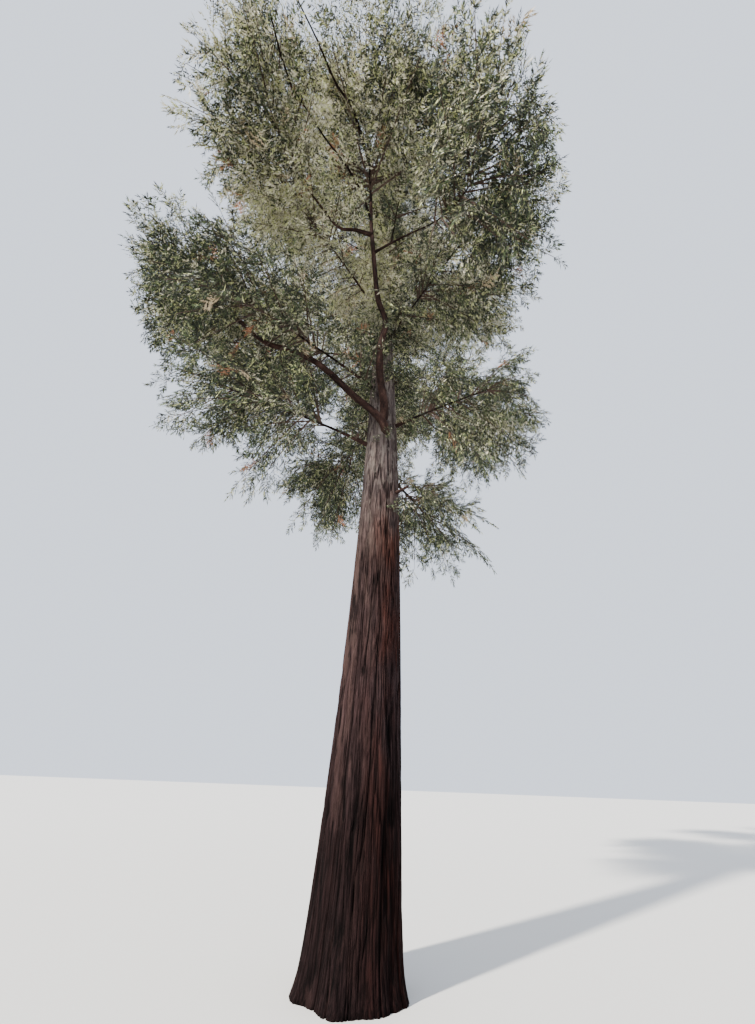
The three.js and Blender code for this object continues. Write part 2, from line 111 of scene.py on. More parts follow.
# Masses of foliage, each round one stem
SPACE_LEAST = 0.34
SPACE_SHARE = 0.34
SPRAY_BEYOND_STEM = 0.7
STEM_RADIUS_SHARE = 0.92
LONE_STEM_RADIUS_SHARE = 0.7
STEM_TIP_RADIUS = 0.012
STEM_FLATTEN = 0.45
SPRAY_LENGTH = 1.48
SPRAY_FULL_SPACE = 1.7
SPRAY_SHARES = (0.45, 1.08)

# Twigs on a stem. A pair is the range of a seeded draw, or with ALONG the values at the stem's foot and tip.
TWIGS_PER_SPACE = 9.0
TWIGS_LEAST = 8
TIP_TWIGS = 4
TWIGS_FROM = 0.1
BOUGH_TWIGS = 12
BOUGH_TWIGS_FROM = 0.16
BOUGH_TWIG_REACH = (0.3, 0.7)
TWIG_REACH = 1.02
FRONT_REACH = 1.2
TWIG_REACH_ALONG = (1, 0.75)
TWIG_REACHES = (0.5, 1.1)
TWIG_REACH_POWER = 0.7
TWIG_TURN = 3.0
TWIG_RISE = 0.85
TWIG_SPREAD_ALONG = (1.25, 0.7)
TWIG_SPREADS = (0.75, 1.15)
TWIG_DROOPS = (0.08, 0.5)
UPRIGHT_DROOP = 0.2
TWIG_ROLL = 1.2

# Sprays on a twig
SPRAYS_PER_TWIG = 11
SPRAYS_FROM = 0.16
SPRAY_STAGGER = 0.8
SPRAY_ROLL = 0.8
SPRAY_ANGLES = (0.6, 1.2)
SPRAY_DROOPS = (0.0, 0.55)
SPRAY_TILT = 1.0
SPRAY_LENGTHS = (0.3, 0.56)
SPRAY_SWELL = (0.15, 0.9)
SPRAY_LENGTH_SPREAD = (0.8, 1.2)
SPRAY_SAG = 0.12
# Twigs this long have sprays of full length, or all of them, and others a share between two
TWIG_FULL_LENGTH = 1.3
TWIG_LENGTH_SHARES = (0.65, 1.1)
TWIG_FULL_COUNT = 1.5
TWIG_COUNT_SHARES = (0.45, 1)

# Shoots on a spray
SHOOTS_PER_SPRAY = 14
SHOOT_SPAN = (0.06, 0.96)
SHOOT_STAGGER = 0.6
SHOOT_ANGLES = (0.35, 1.25)
SHOOT_LIFT = 0.7
SHOOT_DROOPS = (-0.1, 0.5)
SHOOT_TILT = 1.6
SHOOT_LENGTH = 0.42
SHOOT_TAPER = 0.5
SHOOT_LENGTHS = (0.5, 1.35)

# Needle blades on a shoot
BLADES_PER_SHOOT = 6
BLADE_LENGTH = 0.076
BLADE_WIDTH = 0.0225
BLADE_ANGLES = (0.3, 0.75)
BLADE_DROOPS = (-0.05, 0.3)
BLADE_TILT = 1.6
BLADE_CURL = 0.15
BLADE_LENGTHS = (0.7, 1.25)
BLADE_WIDTHS = (0.75, 1.25)
# A spray this long has full blades, and the least and most that blades are scaled by
BLADE_FULL_SPRAY = 0.5
BLADE_SHARES = (0.6, 1.1)

# How large sprays and blades are at a height: finer low in the crown, coarser above
FINENESS_HEIGHTS = (7.0, 11.0, 15.0, 21.0)
FINENESS_SIZES = (0.72, 0.92, 1.05, 1.35)
PIECE_TRIANGLES = 180_000
UP = np.array([0, 0, 1.0])


def lerp(a, b, t):
    return a + (b - a) * t


def chance(a, b):
    v = math.sin(a * 12.9898 + b * 78.233) * 43758.5453
    return v - math.floor(v)


def unit(v):
    return v / np.maximum(np.linalg.norm(v, axis=-1, keepdims=True), 1e-9)


def smoothstep(x, low, high):
    t = np.clip((x - low) / (high - low), 0, 1)
    return t * t * (3 - 2 * t)


def picked(local, shape, low, high):
    """Values drawn evenly between two others."""
    return lerp(low, high, local.random(shape))


def swing(local, shape, width):
    """Values drawn evenly over a width about zero."""
    return width * (local.random(shape) - 0.5)


def direction(heading, pitch):
    level = math.cos(pitch)
    return np.array([level * math.cos(heading), level * math.sin(heading), math.sin(pitch)])


# Trunk shape


def trunk_centre(z):
    waves = [size * np.sin(math.pi * z / half) * np.exp(-z / fade) for size, half, fade in SWEEPS]
    return np.stack([*waves, z], -1)


def trunk_radius(z):
    taper = TRUNK_RADIUS * np.maximum(0, 1 - z / HEIGHT) ** TRUNK_TAPER_POWER
    return taper + sum(size * np.exp(-z / height) for size, height in FLARES)


def flutes(z, angle):
    depth = FLUTE_DEPTH_FOOT * np.exp(-z / FLUTE_FOOT_HEIGHT) + FLUTE_DEPTH_STEM
    return depth * sum(share * np.cos(lobes * angle + phase) for lobes, share, phase in FLUTES)


# Crown shape


def crown_reach(z, heading):
    """How far the crown reaches at a height towards a heading, shorter on its crowded side."""
    share = np.clip((z - CROWN_FOOT) / (HEIGHT - CROWN_FOOT), 0, 1)
    swell = lerp(REACH_AT_FOOT, 1, np.clip(share / REACH_FULL_FROM, 0, 1))
    narrow = np.clip((1 - share) / (1 - REACH_FULL_TO), 0, 1)
    crowded = np.maximum(0, np.cos(heading - REACH_LOSS[1])) ** REACH_LOSS[2]
    return REACH * (1 - REACH_LOSS[0] * crowded) * swell * narrow**REACH_TAPER_POWER


def crown_floor(x, y):
    away = np.cos(np.arctan2(y, x) - OPEN_HEADING)
    opened = smoothstep(away, math.cos(OPEN_EDGE), math.cos(OPEN_HALF_WIDTH))
    return lerp(CROWN_FOOT, OPEN_FLOOR, opened)


# Curves


class Bezier:
    """A quadratic curve through two ends, drawn towards a middle point."""

    def __init__(self, start, middle, end):
        self.points = [np.asarray(p, float) for p in (start, middle, end)]

    def at(self, t):
        a, b, c = self.points
        t = np.asarray(t, float)[..., None]
        return (1 - t) ** 2 * a + 2 * t * (1 - t) * b + t * t * c

    def tangent(self, t):
        a, b, c = self.points
        t = np.asarray(t, float)[..., None]
        return unit((1 - t) * (b - a) + t * (c - b))


class Drawn:
    """A centripetal Catmull-Rom curve through a few points, with evenly shared spans."""

    def __init__(self, points):
        inner = [np.asarray(p, float) for p in points]
        self.points = [2 * inner[0] - inner[1], *inner, 2 * inner[-1] - inner[-2]]

    def at(self, t):
        spans = len(self.points) - 3
        return np.array([self.place(min(max(x, 0), 1) * spans) for x in np.atleast_1d(t)])

    def place(self, x):
        i = min(int(x), len(self.points) - 4)
        p = self.points[i : i + 4]
        knots = np.cumsum([0.0] + [max(np.linalg.norm(p[j + 1] - p[j]) ** 0.5, 1e-6) for j in range(3)])
        s = knots[1] + (x - i) * (knots[2] - knots[1])

        def between(a, b, low, high):
            return a * (high - s) / (high - low) + b * (s - low) / (high - low)

        a = [between(p[j], p[j + 1], knots[j], knots[j + 1]) for j in range(3)]
        b = [between(a[j], a[j + 1], knots[j], knots[j + 2]) for j in range(2)]
        return between(b[0], b[1], knots[1], knots[2])

    def tangent(self, t):
        step = 1e-3
        t = np.atleast_1d(t)
        return unit(self.at(np.minimum(t + step, 1)) - self.at(np.maximum(t - step, 0)))


def bent(start, outward, heading, pitch, length):
    """A curve that sets out in one direction and ends towards a heading and pitch."""
    middle = start + outward * length / 2
    return Bezier(start, middle, middle + direction(heading, pitch) * length / 2)


# Limbs


class Limb(NamedTuple):
    """A mass of foliage round its stem, and the bough that carries it, if it has one."""

    name: str
    stem: object
    stem_radius: float
    half_width: float
    bough: object = None
    bough_radius: float = 0.0


def bough_limb(name, bough, radius, heading, pitch, length, half_width):
    """A limb whose stem goes on from its bough's tip."""
    stem = bent(bough.at([1.0])[0], bough.tangent([1.0])[0], heading, pitch * STEM_FLATTEN, length)
    return Limb(name, stem, STEM_RADIUS_SHARE * BOUGH_TIP_SHARE * radius, half_width, bough, radius)


def clear_heading(heading, z):
    turn = math.atan2(math.sin(heading - OPEN_HEADING), math.cos(heading - OPEN_HEADING))
    kept = max(abs(turn), OPEN_EDGE) if z < OPEN_FLOOR else abs(turn)
    return OPEN_HEADING + math.copysign(kept, turn)


def spray_length(half_width):
    return SPRAY_LENGTH * min(max(half_width / SPRAY_FULL_SPACE, SPRAY_SHARES[0]), SPRAY_SHARES[1])


def spiral_limb(k):
    share = k / (SPIRAL_COUNT - 1)
    z = lerp(SPIRAL_FOOT, SPIRAL_HEAD, share**SPIRAL_POWER)
    heading = clear_heading(FIRST_HEADING + k * GOLDEN_ANGLE + HEADING_SPREAD * (chance(k, 2) - 0.5), z)
    pitch = lerp(PITCH_LOW, PITCH_HIGH, share) + PITCH_SPREAD * (chance(k, 1) - 0.5)
    tip_height = z + TIP_REACH_SHARE * crown_reach(z, heading) * math.tan(pitch)
    reach = crown_reach(tip_height, heading) * lerp(*REACH_SPREAD, chance(k, 3))
    half_width = SPACE_LEAST + SPACE_SHARE * reach
    stem_reach = reach - SPRAY_BEYOND_STEM * spray_length(half_width)
    length = stem_reach / math.cos(pitch * lerp(1, STEM_FLATTEN, MEAN_FLATTENING))
    start = trunk_centre(z)
    radius = BOUGH_RADIUS[0] * trunk_radius(z) + BOUGH_RADIUS[1]
    name = f"{k + 1:02d}"
    if k >= BOUGH_COUNT:
        stem = bent(start, direction(heading, pitch), heading, pitch * STEM_FLATTEN, length)
        return Limb(name, stem, LONE_STEM_RADIUS_SHARE * radius, half_width)
    outward = direction(heading, pitch + BOUGH_BEND[0])
    bough = bent(start, outward, heading, pitch + BOUGH_BEND[1], length * BARE_SHARE)
    return bough_limb(name, bough, radius, heading, pitch, length * (1 - BARE_SHARE), half_width)


# The boughs that follow the photograph's own lines
LEFT_BOUGH = (
    (0.19, 0.02, 6.72),
    (0.13, -0.31, 7.02),
    (-0.52, -0.46, 7.71),
    (-1.31, -0.58, 8.55),
    (-1.9, -0.66, 8.87),
    (-2.38, -0.74, 8.93),
    (-3.14, -0.9, 9.57),
)
FRONT_BOUGH = (
    (0.11, -0.02, 6.98),
    (0.13, -0.31, 7.55),
    (0.02, -0.5, 8.29),
    (0.01, -0.72, 9.14),
    (0.1, -0.88, 9.74),
    (-0.09, -1.07, 10.4),
    (-0.27, -1.45, 12.1),
    (-0.36, -1.64, 13.05),
    (-0.41, -1.92, 13.95),
)
FRONT_LEFT_BOUGH = (
    (-0.33, -1.58, 12.75),
    (-0.74, -1.75, 12.49),
    (-1.11, -1.86, 12.25),
    (-1.7, -2.3, 12.65),
)
FRONT_RIGHT_BOUGH = (
    (-0.27, -1.44, 12.0),
    (0.34, -1.75, 12.0),
    (0.93, -2.2, 11.4),
)

# Slim limbs that show dark under the high foliage, and the limb whose mass has each
SIDE_LIMB_HIGH = (
    (-0.46, -2.45, 14.9),
    (-0.91, -3.57, 14.6),
    (-1.26, -3.96, 14.5),
    (-1.59, -4.58, 14.2),
    (-1.85, -5.07, 13.7),
)
SIDE_LIMB_LOW = (
    (-0.38, -1.74, 13.3),
    (-0.59, -2.31, 13.0),
    (-0.9, -2.73, 13.15),
    (-1.44, -3.23, 13.3),
    (-2.0, -3.9, 13.3),
)
SIDE_LIMB_FORK = (
    (-2.0, -3.7, 13.3),
    (-2.08, -3.97, 13.3),
    (-2.21, -4.41, 13.2),
    (-2.28, -4.92, 13.0),
)
SIDE_LIMBS = ((SIDE_LIMB_HIGH, "front"), (SIDE_LIMB_LOW, "front_left"), (SIDE_LIMB_FORK, "front_left"))
# Their radius at both ends, and the stretch that stays clear of needles
SIDE_LIMB_RADIUS = (0.034, 0.014)
SIDE_LIMB_BARE = (0.5, 1)

# A drawn limb has its bough's points and radius, its stem's heading, pitch and length, and half its width.
drawn_limbs = [
    bough_limb("left", Drawn(LEFT_BOUGH), 0.084, -2.95, 1.0, 1.8, 1.9),
    bough_limb("front", Drawn(FRONT_BOUGH), 0.088, -1.7, 0.7, 2.9, 2.35),
    bough_limb("front_left", Drawn(FRONT_LEFT_BOUGH), 0.048, -1.75, 0.5, 2.3, 1.85),
    bough_limb("front_right", Drawn(FRONT_RIGHT_BOUGH), 0.032, -1.25, 0.5, 2.2, 1.95),
]
UPRIGHT = math.pi / 2
TOP_STEM_LENGTH = 0.5
TOP_STEM_RADIUS = 0.014
TOP_HALF_WIDTH = 0.76
top_stem = bent(trunk_centre(TRUNK_TOP), direction(0.0, UPRIGHT), 0.0, UPRIGHT, TOP_STEM_LENGTH)
limbs = [
    *drawn_limbs,
    *[spiral_limb(k) for k in range(SPIRAL_COUNT)],
    Limb("top", top_stem, TOP_STEM_RADIUS, TOP_HALF_WIDTH),
]

# Meshes


def add_object(name, data):
    thing = bpy.data.objects.new(name, data)
    bpy.context.scene.collection.objects.link(thing)
    return thing


def make_mesh(name, corners, faces, materials, material_index=None, smooth=False):
    """A mesh object from an array of corners, and one of faces for each number of sides."""
    loops = np.concatenate([np.ravel(kind) for kind in faces]).astype(np.int32)
    sizes = np.concatenate([np.full(len(kind), np.shape(kind)[1]) for kind in faces]).astype(np.int32)
    mesh = bpy.data.meshes.new(name)
    mesh.vertices.add(len(corners))
    mesh.vertices.foreach_set("co", np.asarray(corners, np.float32).ravel())
    mesh.loops.add(len(loops))
    mesh.loops.foreach_set("vertex_index", loops)
    mesh.polygons.add(len(sizes))
    mesh.polygons.foreach_set("loop_start", np.concatenate([[0], np.cumsum(sizes)[:-1]]).astype(np.int32))
    if material_index is not None:
        mesh.polygons.foreach_set("material_index", np.asarray(material_index, np.int32))
    mesh.polygons.foreach_set("use_smooth", np.full(len(sizes), smooth))
    mesh.update(calc_edges=True)
    mesh.validate()
    for material in materials:
        mesh.materials.append(material)
    return add_object(name, mesh)


def add_piece(piece, slot, *nodes):
    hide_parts(*nodes)
    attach(piece, "root")


# A direction in which no path sets out
ASKEW = (0.31, 0.17, 0.93)


def path_frames(points):
    """Two directions across a path at each of its points, carried along without twist."""
    tangents = unit(np.gradient(points, axis=0))
    first = np.cross(tangents[0], ASKEW)
    sides = [first / np.linalg.norm(first)]
    for tangent in tangents[1:]:
        side = sides[-1] - tangent * np.dot(tangent, sides[-1])
        sides.append(side / np.linalg.norm(side))
    sides = np.array(sides)
    return sides, np.cross(tangents, sides)


def tube_faces(count, sides):
    """Walls between so many rings of corners, and fans over both ends to the two corners after them."""
    i = np.arange(count - 1)[:, None] * sides
    j = np.arange(sides)[None, :]
    k = (j + 1) % sides
    walls = np.stack([i + j, i + k, i + sides + k, i + sides + j], -1).reshape(-1, 4)
    first, last = count * sides, count * sides + 1
    around = np.arange(sides)
    after = (around + 1) % sides
    base = (count - 1) * sides
    foot = np.stack([after, around, np.full(sides, first)], -1)
    top = np.stack([base + around, base + after, np.full(sides, last)], -1)
    return walls, np.concatenate([foot, top])


def tube(points, radii, sides):
    """A closed tube along a path, with a radius for each point, or for each point and side."""
    count = len(points)
    across, up = path_frames(points)
    angle = np.arange(sides) * 2 * math.pi / sides
    radii = np.broadcast_to(np.asarray(radii, float).reshape(count, -1), (count, sides))
    ring = across[:, None] * np.cos(angle)[None, :, None] + up[:, None] * np.sin(angle)[None, :, None]
    corners = (points[:, None] + ring * radii[..., None]).reshape(-1, 3)
    corners = np.concatenate([corners, points[:1], points[-1:]])
    return corners, tube_faces(count, sides)


def joined(parts):
    """Several meshes as one, each kind of face together."""
    starts = np.cumsum([0] + [len(corners) for corners, _ in parts])
    kinds = zip(*[[kind + start for kind in faces] for (_, faces), start in zip(parts, starts)])
    return np.concatenate([corners for corners, _ in parts]), [np.concatenate(kind) for kind in kinds]


# Bark relief


def lattice_noise(turns, height, cells, length, seed):
    """Smooth noise from 0 to 1 that closes round the trunk after a whole turn."""
    rows = int(np.max(height) / length) + 3
    table = np.random.default_rng(seed).random((rows, cells))
    x = np.mod(turns, 1.0) * cells
    y = np.clip(height / length, 0, rows - 2)
    i, j = np.floor(x).astype(int), np.floor(y).astype(int)
    fx, fy = smoothstep(x - i, 0, 1), smoothstep(y - j, 0, 1)
    left, right = i % cells, (i + 1) % cells
    low = table[j, left] * (1 - fx) + table[j, right] * fx
    high = table[j + 1, left] * (1 - fx) + table[j + 1, right] * fx
    return low * (1 - fy) + high * fy


def plates(turns, height, cells, length, seed, edge):
    """Long flat plates, near 1, parted by narrow furrows, near 0."""
    middle = np.abs(2 * lattice_noise(turns, height, cells, length, seed) - 1)
    return smoothstep(middle, 0, edge)


# What turns the furrows aside: cells round the trunk, length up it, seed, and how far in turns
BARK_WANDER = (
    (9, 1.3, 11, 0.026),
    (30, 0.4, 12, 0.012),
    (17, 4.0, 18, 0.034),
)
# Furrows, strips and fibres: cells, length, seed, how wide the gaps are, and share of the relief
BARK_PLATES = (
    (30, 1.6, 13, 0.13, 0.44),
    (70, 0.8, 14, 0.16, 0.28),
    (150, 0.35, 17, 0.5, 0.18),
)
BARK_FLAKES = (120, 0.2, 15)
BARK_FLAKES_SHARE = 0.1
# The relief of a tube's two caps
CAP_RELIEF = 0.4


def bark_relief(turns, height):
    """The bark's height from 0, deep in a furrow, to 1, on a ridge."""
    wander = [far * (lattice_noise(turns, height, *pattern) - 0.5) for *pattern, far in BARK_WANDER]
    moved = turns + sum(wander)
    relief = [share * plates(moved, height, *pattern) for *pattern, share in BARK_PLATES]
    return sum(relief) + BARK_FLAKES_SHARE * lattice_noise(moved, height, *BARK_FLAKES)


def add_bark(name, slot, node, mesh, relief, material):
    """A tube of bark that keeps the relief at its corners for its material."""
    piece = make_mesh(name, *mesh, [material], smooth=True)
    values = np.concatenate([np.ravel(relief), [CAP_RELIEF, CAP_RELIEF]])
    attribute = piece.data.attributes.new("relief", "FLOAT", "POINT")
    attribute.data.foreach_set("value", values.astype(np.float32))
    add_piece(piece, slot, node)


# The trunk's two pieces: name, lowest and highest point, corners in a ring and rings
TRUNK_PARTS = (
    ("trunk_low", 0.0, 9.4, 480, 206),
    ("trunk_high", 9.4, TRUNK_TOP, 150, 110),
)
# How deep the bark is, as a share of the trunk's radius and at least, and the relief that lies on the radius
BARK_DEPTH = 0.08
BARK_DEPTH_LEAST = 0.006
BARK_LEVEL = 0.75
# Scars of lost twigs: heading, height and size
KNOTS = (
    (-1.5, 4.72, 0.05),
    (-1.2, 6.5, 0.045),
    (-1.75, 6.25, 0.04),
    (-2.3, 5.6, 0.035),
    (-0.75, 5.95, 0.035),
)
# How far they stand out, how slowly they fade upwards, and how deep and steep their dent is
KNOT_HEIGHT = 0.6
KNOT_STRETCH = 0.8
KNOT_DENT = 1.6
KNOT_DENT_STEEP = 9
# Deep grooves low on the trunk: angle, lowest and highest point, width and depth
GROOVES = (
    (-0.12, 0.35, 1.9, 0.022, 0.035),
    (-1.18, 0.4, 1.5, 0.02, 0.03),
    (0.62, 0.1, 2.6, 0.016, 0.022),
)
# Their waves as they climb, how far they fade in and out, and how much they deepen the relief for their
# depth, which makes them deeper and darker with painted shade
GROOVE_WAVES = ((0.05, 4.1), (0.025, 11))
GROOVE_ENDS = (0.3, 0.5)
GROOVE_DEPTH_AND_SHADE = 12


def turn_between(a, b):
    """The angle from heading b to heading a, from -pi to pi."""
    return np.mod(a - b + math.pi, 2 * math.pi) - math.pi


def grooves(angle, z, radius):
    """How deep the grooves cut."""
    (wide, slow), (narrow, quick) = GROOVE_WAVES
    total = 0
    for groove_angle, low, high, width, depth in GROOVES:
        middle = groove_angle + wide * np.sin(slow * z + groove_angle) + narrow * np.sin(quick * z)
        ends = smoothstep(z, low, low + GROOVE_ENDS[0]) * (1 - smoothstep(z, high - GROOVE_ENDS[1], high))
        total = total + depth * ends * np.exp(-((turn_between(angle, middle) * radius / width) ** 2))
    return total


def knot_swelling(angle, z, radius):
    """How far the scars of lost twigs stand out, each with a dent in its middle."""
    total = 0
    for knot_angle, knot_z, size in KNOTS:
        aside = turn_between(angle, knot_angle) * radius
        far = np.hypot(aside, KNOT_STRETCH * (z - knot_z)) / size
        dent = KNOT_DENT * np.exp(-KNOT_DENT_STEEP * far * far)
        total = total + KNOT_HEIGHT * size * (np.exp(-far * far) - dent)
    return total


def make_trunk(name, low, high, sides, rings, material):
    """One of the trunk's pieces, as rings round its centre line."""
    angle, z = np.meshgrid(np.arange(sides) * 2 * math.pi / sides, np.linspace(low, high, rings))
    radius = trunk_radius(z)
    depth = BARK_DEPTH * radius + BARK_DEPTH_LEAST
    knots = knot_swelling(angle - math.pi / 2, z, radius)
    relief = bark_relief(angle / (2 * math.pi), z) - GROOVE_DEPTH_AND_SHADE * grooves(angle, z, radius)
    full = radius * (1 + flutes(z, angle)) + depth * (relief - BARK_LEVEL) + knots
    ring = np.stack([np.sin(angle), -np.cos(angle), 0 * angle], -1)
    corners = (trunk_centre(z) + ring * full[..., None]).reshape(-1, 3)
    corners = np.concatenate([corners, trunk_centre(np.array([low, high]))])
    add_bark(name, "bark", "trunk", (corners, tube_faces(rings, sides)), relief, material)


# The scales on a limb's bark: cells round it, length along it and share, then how far they stand out
LIMB_SCALES = ((7, 0.22, 0.6), (13, 0.07, 0.4))
LIMB_SCALE_DEPTH = 0.22
LIMB_LEVEL = 0.6


def limb_tube(curve, radius, sides, steps, seed):
    """A limb's tube with a scaly relief, and that relief for each corner of its rings."""
    t = np.linspace(0, 1, steps)
    points = curve.at(t)
    run = np.concatenate([[0], np.cumsum(np.linalg.norm(np.diff(points, axis=0), axis=1))])
    turns, height = np.meshgrid(np.arange(sides) / sides, run)
    relief = 0
    for i, (cells, length, share) in enumerate(LIMB_SCALES):
        relief = relief + share * lattice_noise(turns, height, cells, length, seed + i)
    radii = radius * lerp(1, BOUGH_TIP_SHARE, t) * (1 + COLLAR[0] * np.exp(-run / COLLAR[1]))
    return tube(points, radii[:, None] * (1 + LIMB_SCALE_DEPTH * (relief - LIMB_LEVEL)), sides), relief


# Corners in a ring and rings: of a drawn bough, of one of the spiral and of the stub
DRAWN_BOUGH_STEPS = (20, 90)
SPIRAL_BOUGH_STEPS = (14, 36)
STUB_STEPS = (16, 30)
BOUGH_SEED = 100
STUB_SEED = 90


def make_bough(number, one, material):
    steps = DRAWN_BOUGH_STEPS if isinstance(one.bough, Drawn) else SPIRAL_BOUGH_STEPS
    mesh, relief = limb_tube(one.bough, one.bough_radius, *steps, BOUGH_SEED + 2 * number)
    add_bark(f"bough_{one.name}_bark", "bough_bark", f"bough_{one.name}", mesh, relief, material)


STUB_FROM = np.array([0.15, -0.06, 5.35])
STUB_TO = np.array([0.6, -0.19, 5.6])
STUB_RADIUS = 0.042
STUB_SPLINTERS = 0.03
SPLINTER_SEED = 5


def make_stub(material):
    """The broken stub on the trunk's right, with a splintered end."""
    curve = Bezier(STUB_FROM, (STUB_FROM + STUB_TO) / 2, STUB_TO)
    mesh, relief = limb_tube(curve, STUB_RADIUS, *STUB_STEPS, STUB_SEED)
    corners, sides = mesh[0], STUB_STEPS[0]
    splinters = np.random.default_rng(SPLINTER_SEED).random((sides, 1)) - 1
    corners[-2 - sides : -2] += unit(STUB_TO - STUB_FROM) * (STUB_SPLINTERS * splinters)
    add_bark("stub_bark", "bough_bark", "stub", mesh, relief, material)


# Foliage


def level_across(v):
    across = np.cross(v, UP)
    size = np.linalg.norm(across, axis=-1, keepdims=True)
    return np.where(size > 1e-2, across / np.maximum(size, 1e-9), [1.0, 0, 0])


def turned(v, axis, angle):
    """Directions turned about unit axes, each by its own angle."""
    c, s = np.cos(angle)[..., None], np.sin(angle)[..., None]
    dot = np.sum(v * axis, -1, keepdims=True)
    return v * c + np.cross(axis, v) * s + axis * dot * (1 - c)


# How far needles may pass the solids' box, and how far the lowest may hang under the crown's floor
BOX_SPARE = 0.12
BOX_LOW = np.array(cad_box[0]) - BOX_SPARE
BOX_HIGH = np.array(cad_box[1]) + [BOX_SPARE, BOX_SPARE, 0]
FLOOR_SPREAD = 0.9
TRUNK_CLEARANCE = 0.05


def in_crown(p, below):
    """Whether points lie in the crown, or no further under its floor than below."""
    centre = trunk_centre(p[:, 2])
    out = np.hypot(p[:, 0] - centre[:, 0], p[:, 1] - centre[:, 1])
    inside = (p[:, 2] > crown_floor(p[:, 0], p[:, 1]) - below) & np.all((p > BOX_LOW) & (p < BOX_HIGH), 1)
    reach = crown_reach(p[:, 2], np.arctan2(p[:, 1], p[:, 0])) + REACH_SPARE
    return inside & (out < reach) & (out > trunk_radius(p[:, 2]) + TRUNK_CLEARANCE)


# A mass's space: its stem's points, how much less it reaches upwards, and how far it may run into the next
STEM_SAMPLES = [one.stem.at(np.linspace(0, 1, 7)) for one in limbs]
UPRIGHT_STRETCH = 1.15
SPACE_OVERLAP = 0.3


def nearness(p, i):
    """How far points are from a mass's stem, as a share of its half width."""
    gap = p[:, None] - STEM_SAMPLES[i][None]
    far = np.sqrt(gap[..., 0] ** 2 + gap[..., 1] ** 2 + (UPRIGHT_STRETCH * gap[..., 2]) ** 2)
    return np.min(far, 1) / limbs[i].half_width


def in_space(p, own):
    """Whether points are about as near to their own mass's stem as to any other."""
    near = nearness(p, own) - SPACE_OVERLAP
    others = np.min([nearness(p, i) for i in range(len(limbs)) if i != own], 0)
    return others > near


# Needles are thin between the open ground in front of the tree and its bare boughs.
OPEN_GROUND = np.array([0.0, -5.0, 1.5])
BARE_WIDTH = 0.24
BARE_KEPT = 0.12
BARE_POINTS = np.concatenate(
    [one.bough.at(np.linspace(0, 1, 24)) for one in drawn_limbs]
    + [Drawn(points).at(np.linspace(*SIDE_LIMB_BARE, 10)) for points, _ in SIDE_LIMBS]
)


def hides_bough(p):
    """Whether points stand between the open ground and a bare bough."""
    to_bough = BARE_POINTS - OPEN_GROUND
    far = np.linalg.norm(to_bough, axis=1)
    to_point = p - OPEN_GROUND
    reach = np.linalg.norm(to_point, axis=1)
    close = (unit(to_point) @ unit(to_bough).T) > np.cos(BARE_WIDTH / far)[None, :]
    return np.any(close & (reach[:, None] < far[None, :]), 1)


def fineness(z):
    return np.interp(z, FINENESS_HEIGHTS, FINENESS_SIZES)


def grow_twigs(one, local):
    """The twigs on a stem, as arrays."""
    stem, bough, half_width = one.stem, one.bough, one.half_width
    count = int(TWIGS_PER_SPACE * half_width**2 / fineness(stem.at(0.5)[2])) + TWIGS_LEAST
    share = lerp(TWIGS_FROM, 1, np.sort(local.random(count)))
    share[-TIP_TWIGS:] = 1.0
    tangent, root = stem.tangent(share), stem.at(share)
    reach = lerp(*TWIG_REACHES, local.random(count) ** TWIG_REACH_POWER)
    reach = half_width * lerp(*TWIG_REACH_ALONG, share) * reach
    if isinstance(bough, Bezier):
        inner = picked(local, BOUGH_TWIGS, BOUGH_TWIGS_FROM, 1)
        tangent = np.concatenate([bough.tangent(inner), tangent])
        root = np.concatenate([bough.at(inner), root])
        reach = np.concatenate([half_width * picked(local, BOUGH_TWIGS, *BOUGH_TWIG_REACH), reach])
        share = np.concatenate([0 * inner, share])
        count += BOUGH_TWIGS
    level = level_across(tangent)
    lift = np.cross(level, tangent)
    turn = (np.arange(count) % 2) * math.pi + swing(local, count, TWIG_TURN)
    aside = unit(level * np.cos(turn)[:, None] + lift * (TWIG_RISE * np.sin(turn))[:, None])
    spread = lerp(*TWIG_SPREAD_ALONG, share) * picked(local, count, *TWIG_SPREADS)
    spread[-1] = 0
    return {
        "base": root,
        "ahead": unit(tangent * np.cos(spread)[:, None] + aside * np.sin(spread)[:, None]),
        "length": reach * (FRONT_REACH if isinstance(bough, Drawn) else TWIG_REACH),
        "droop": picked(local, count, *TWIG_DROOPS) * (UPRIGHT_DROOP if one.name == "top" else 1),
        "roll": swing(local, count, TWIG_ROLL),
    }


def on_arcs(arcs, u):
    """Points at shares u of arcs that set out ahead from a base and droop by the square of the way."""
    ahead = arcs["ahead"][:, None] * (arcs["length"][:, None] * u)[..., None]
    fall = (arcs["droop"] * arcs["length"])[:, None, None] * (u * u)[..., None]
    return arcs["base"][:, None] + ahead - UP * fall


def staggered(local, n, m, low, high, stagger):
    """Shares from low to high for m parts along each of n others, not quite in step."""
    return lerp(low, high, (np.arange(m)[None, :] + stagger * local.random((n, m))) / m)


def leaning(ahead, across, local, shape, angles):
    """Directions turned to either side of ahead by turns, and straight ahead at a row's end."""
    sides = np.where(np.arange(shape[-1]) % 2, 1.0, -1.0) * np.ones(shape)
    sides[..., -1] = 0
    angle = (sides * picked(local, shape, *angles))[..., None]
    return ahead * np.cos(angle) + across * np.sin(angle)


def drooping(ahead, local, shape, droops):
    return unit(ahead - UP * picked(local, shape, *droops)[..., None])


def tilted(normal, along, local, shape, tilt):
    """Directions across others, level with the plane of a normal and then turned about them."""
    return turned(unit(np.cross(normal, along)), along, swing(local, shape, tilt))


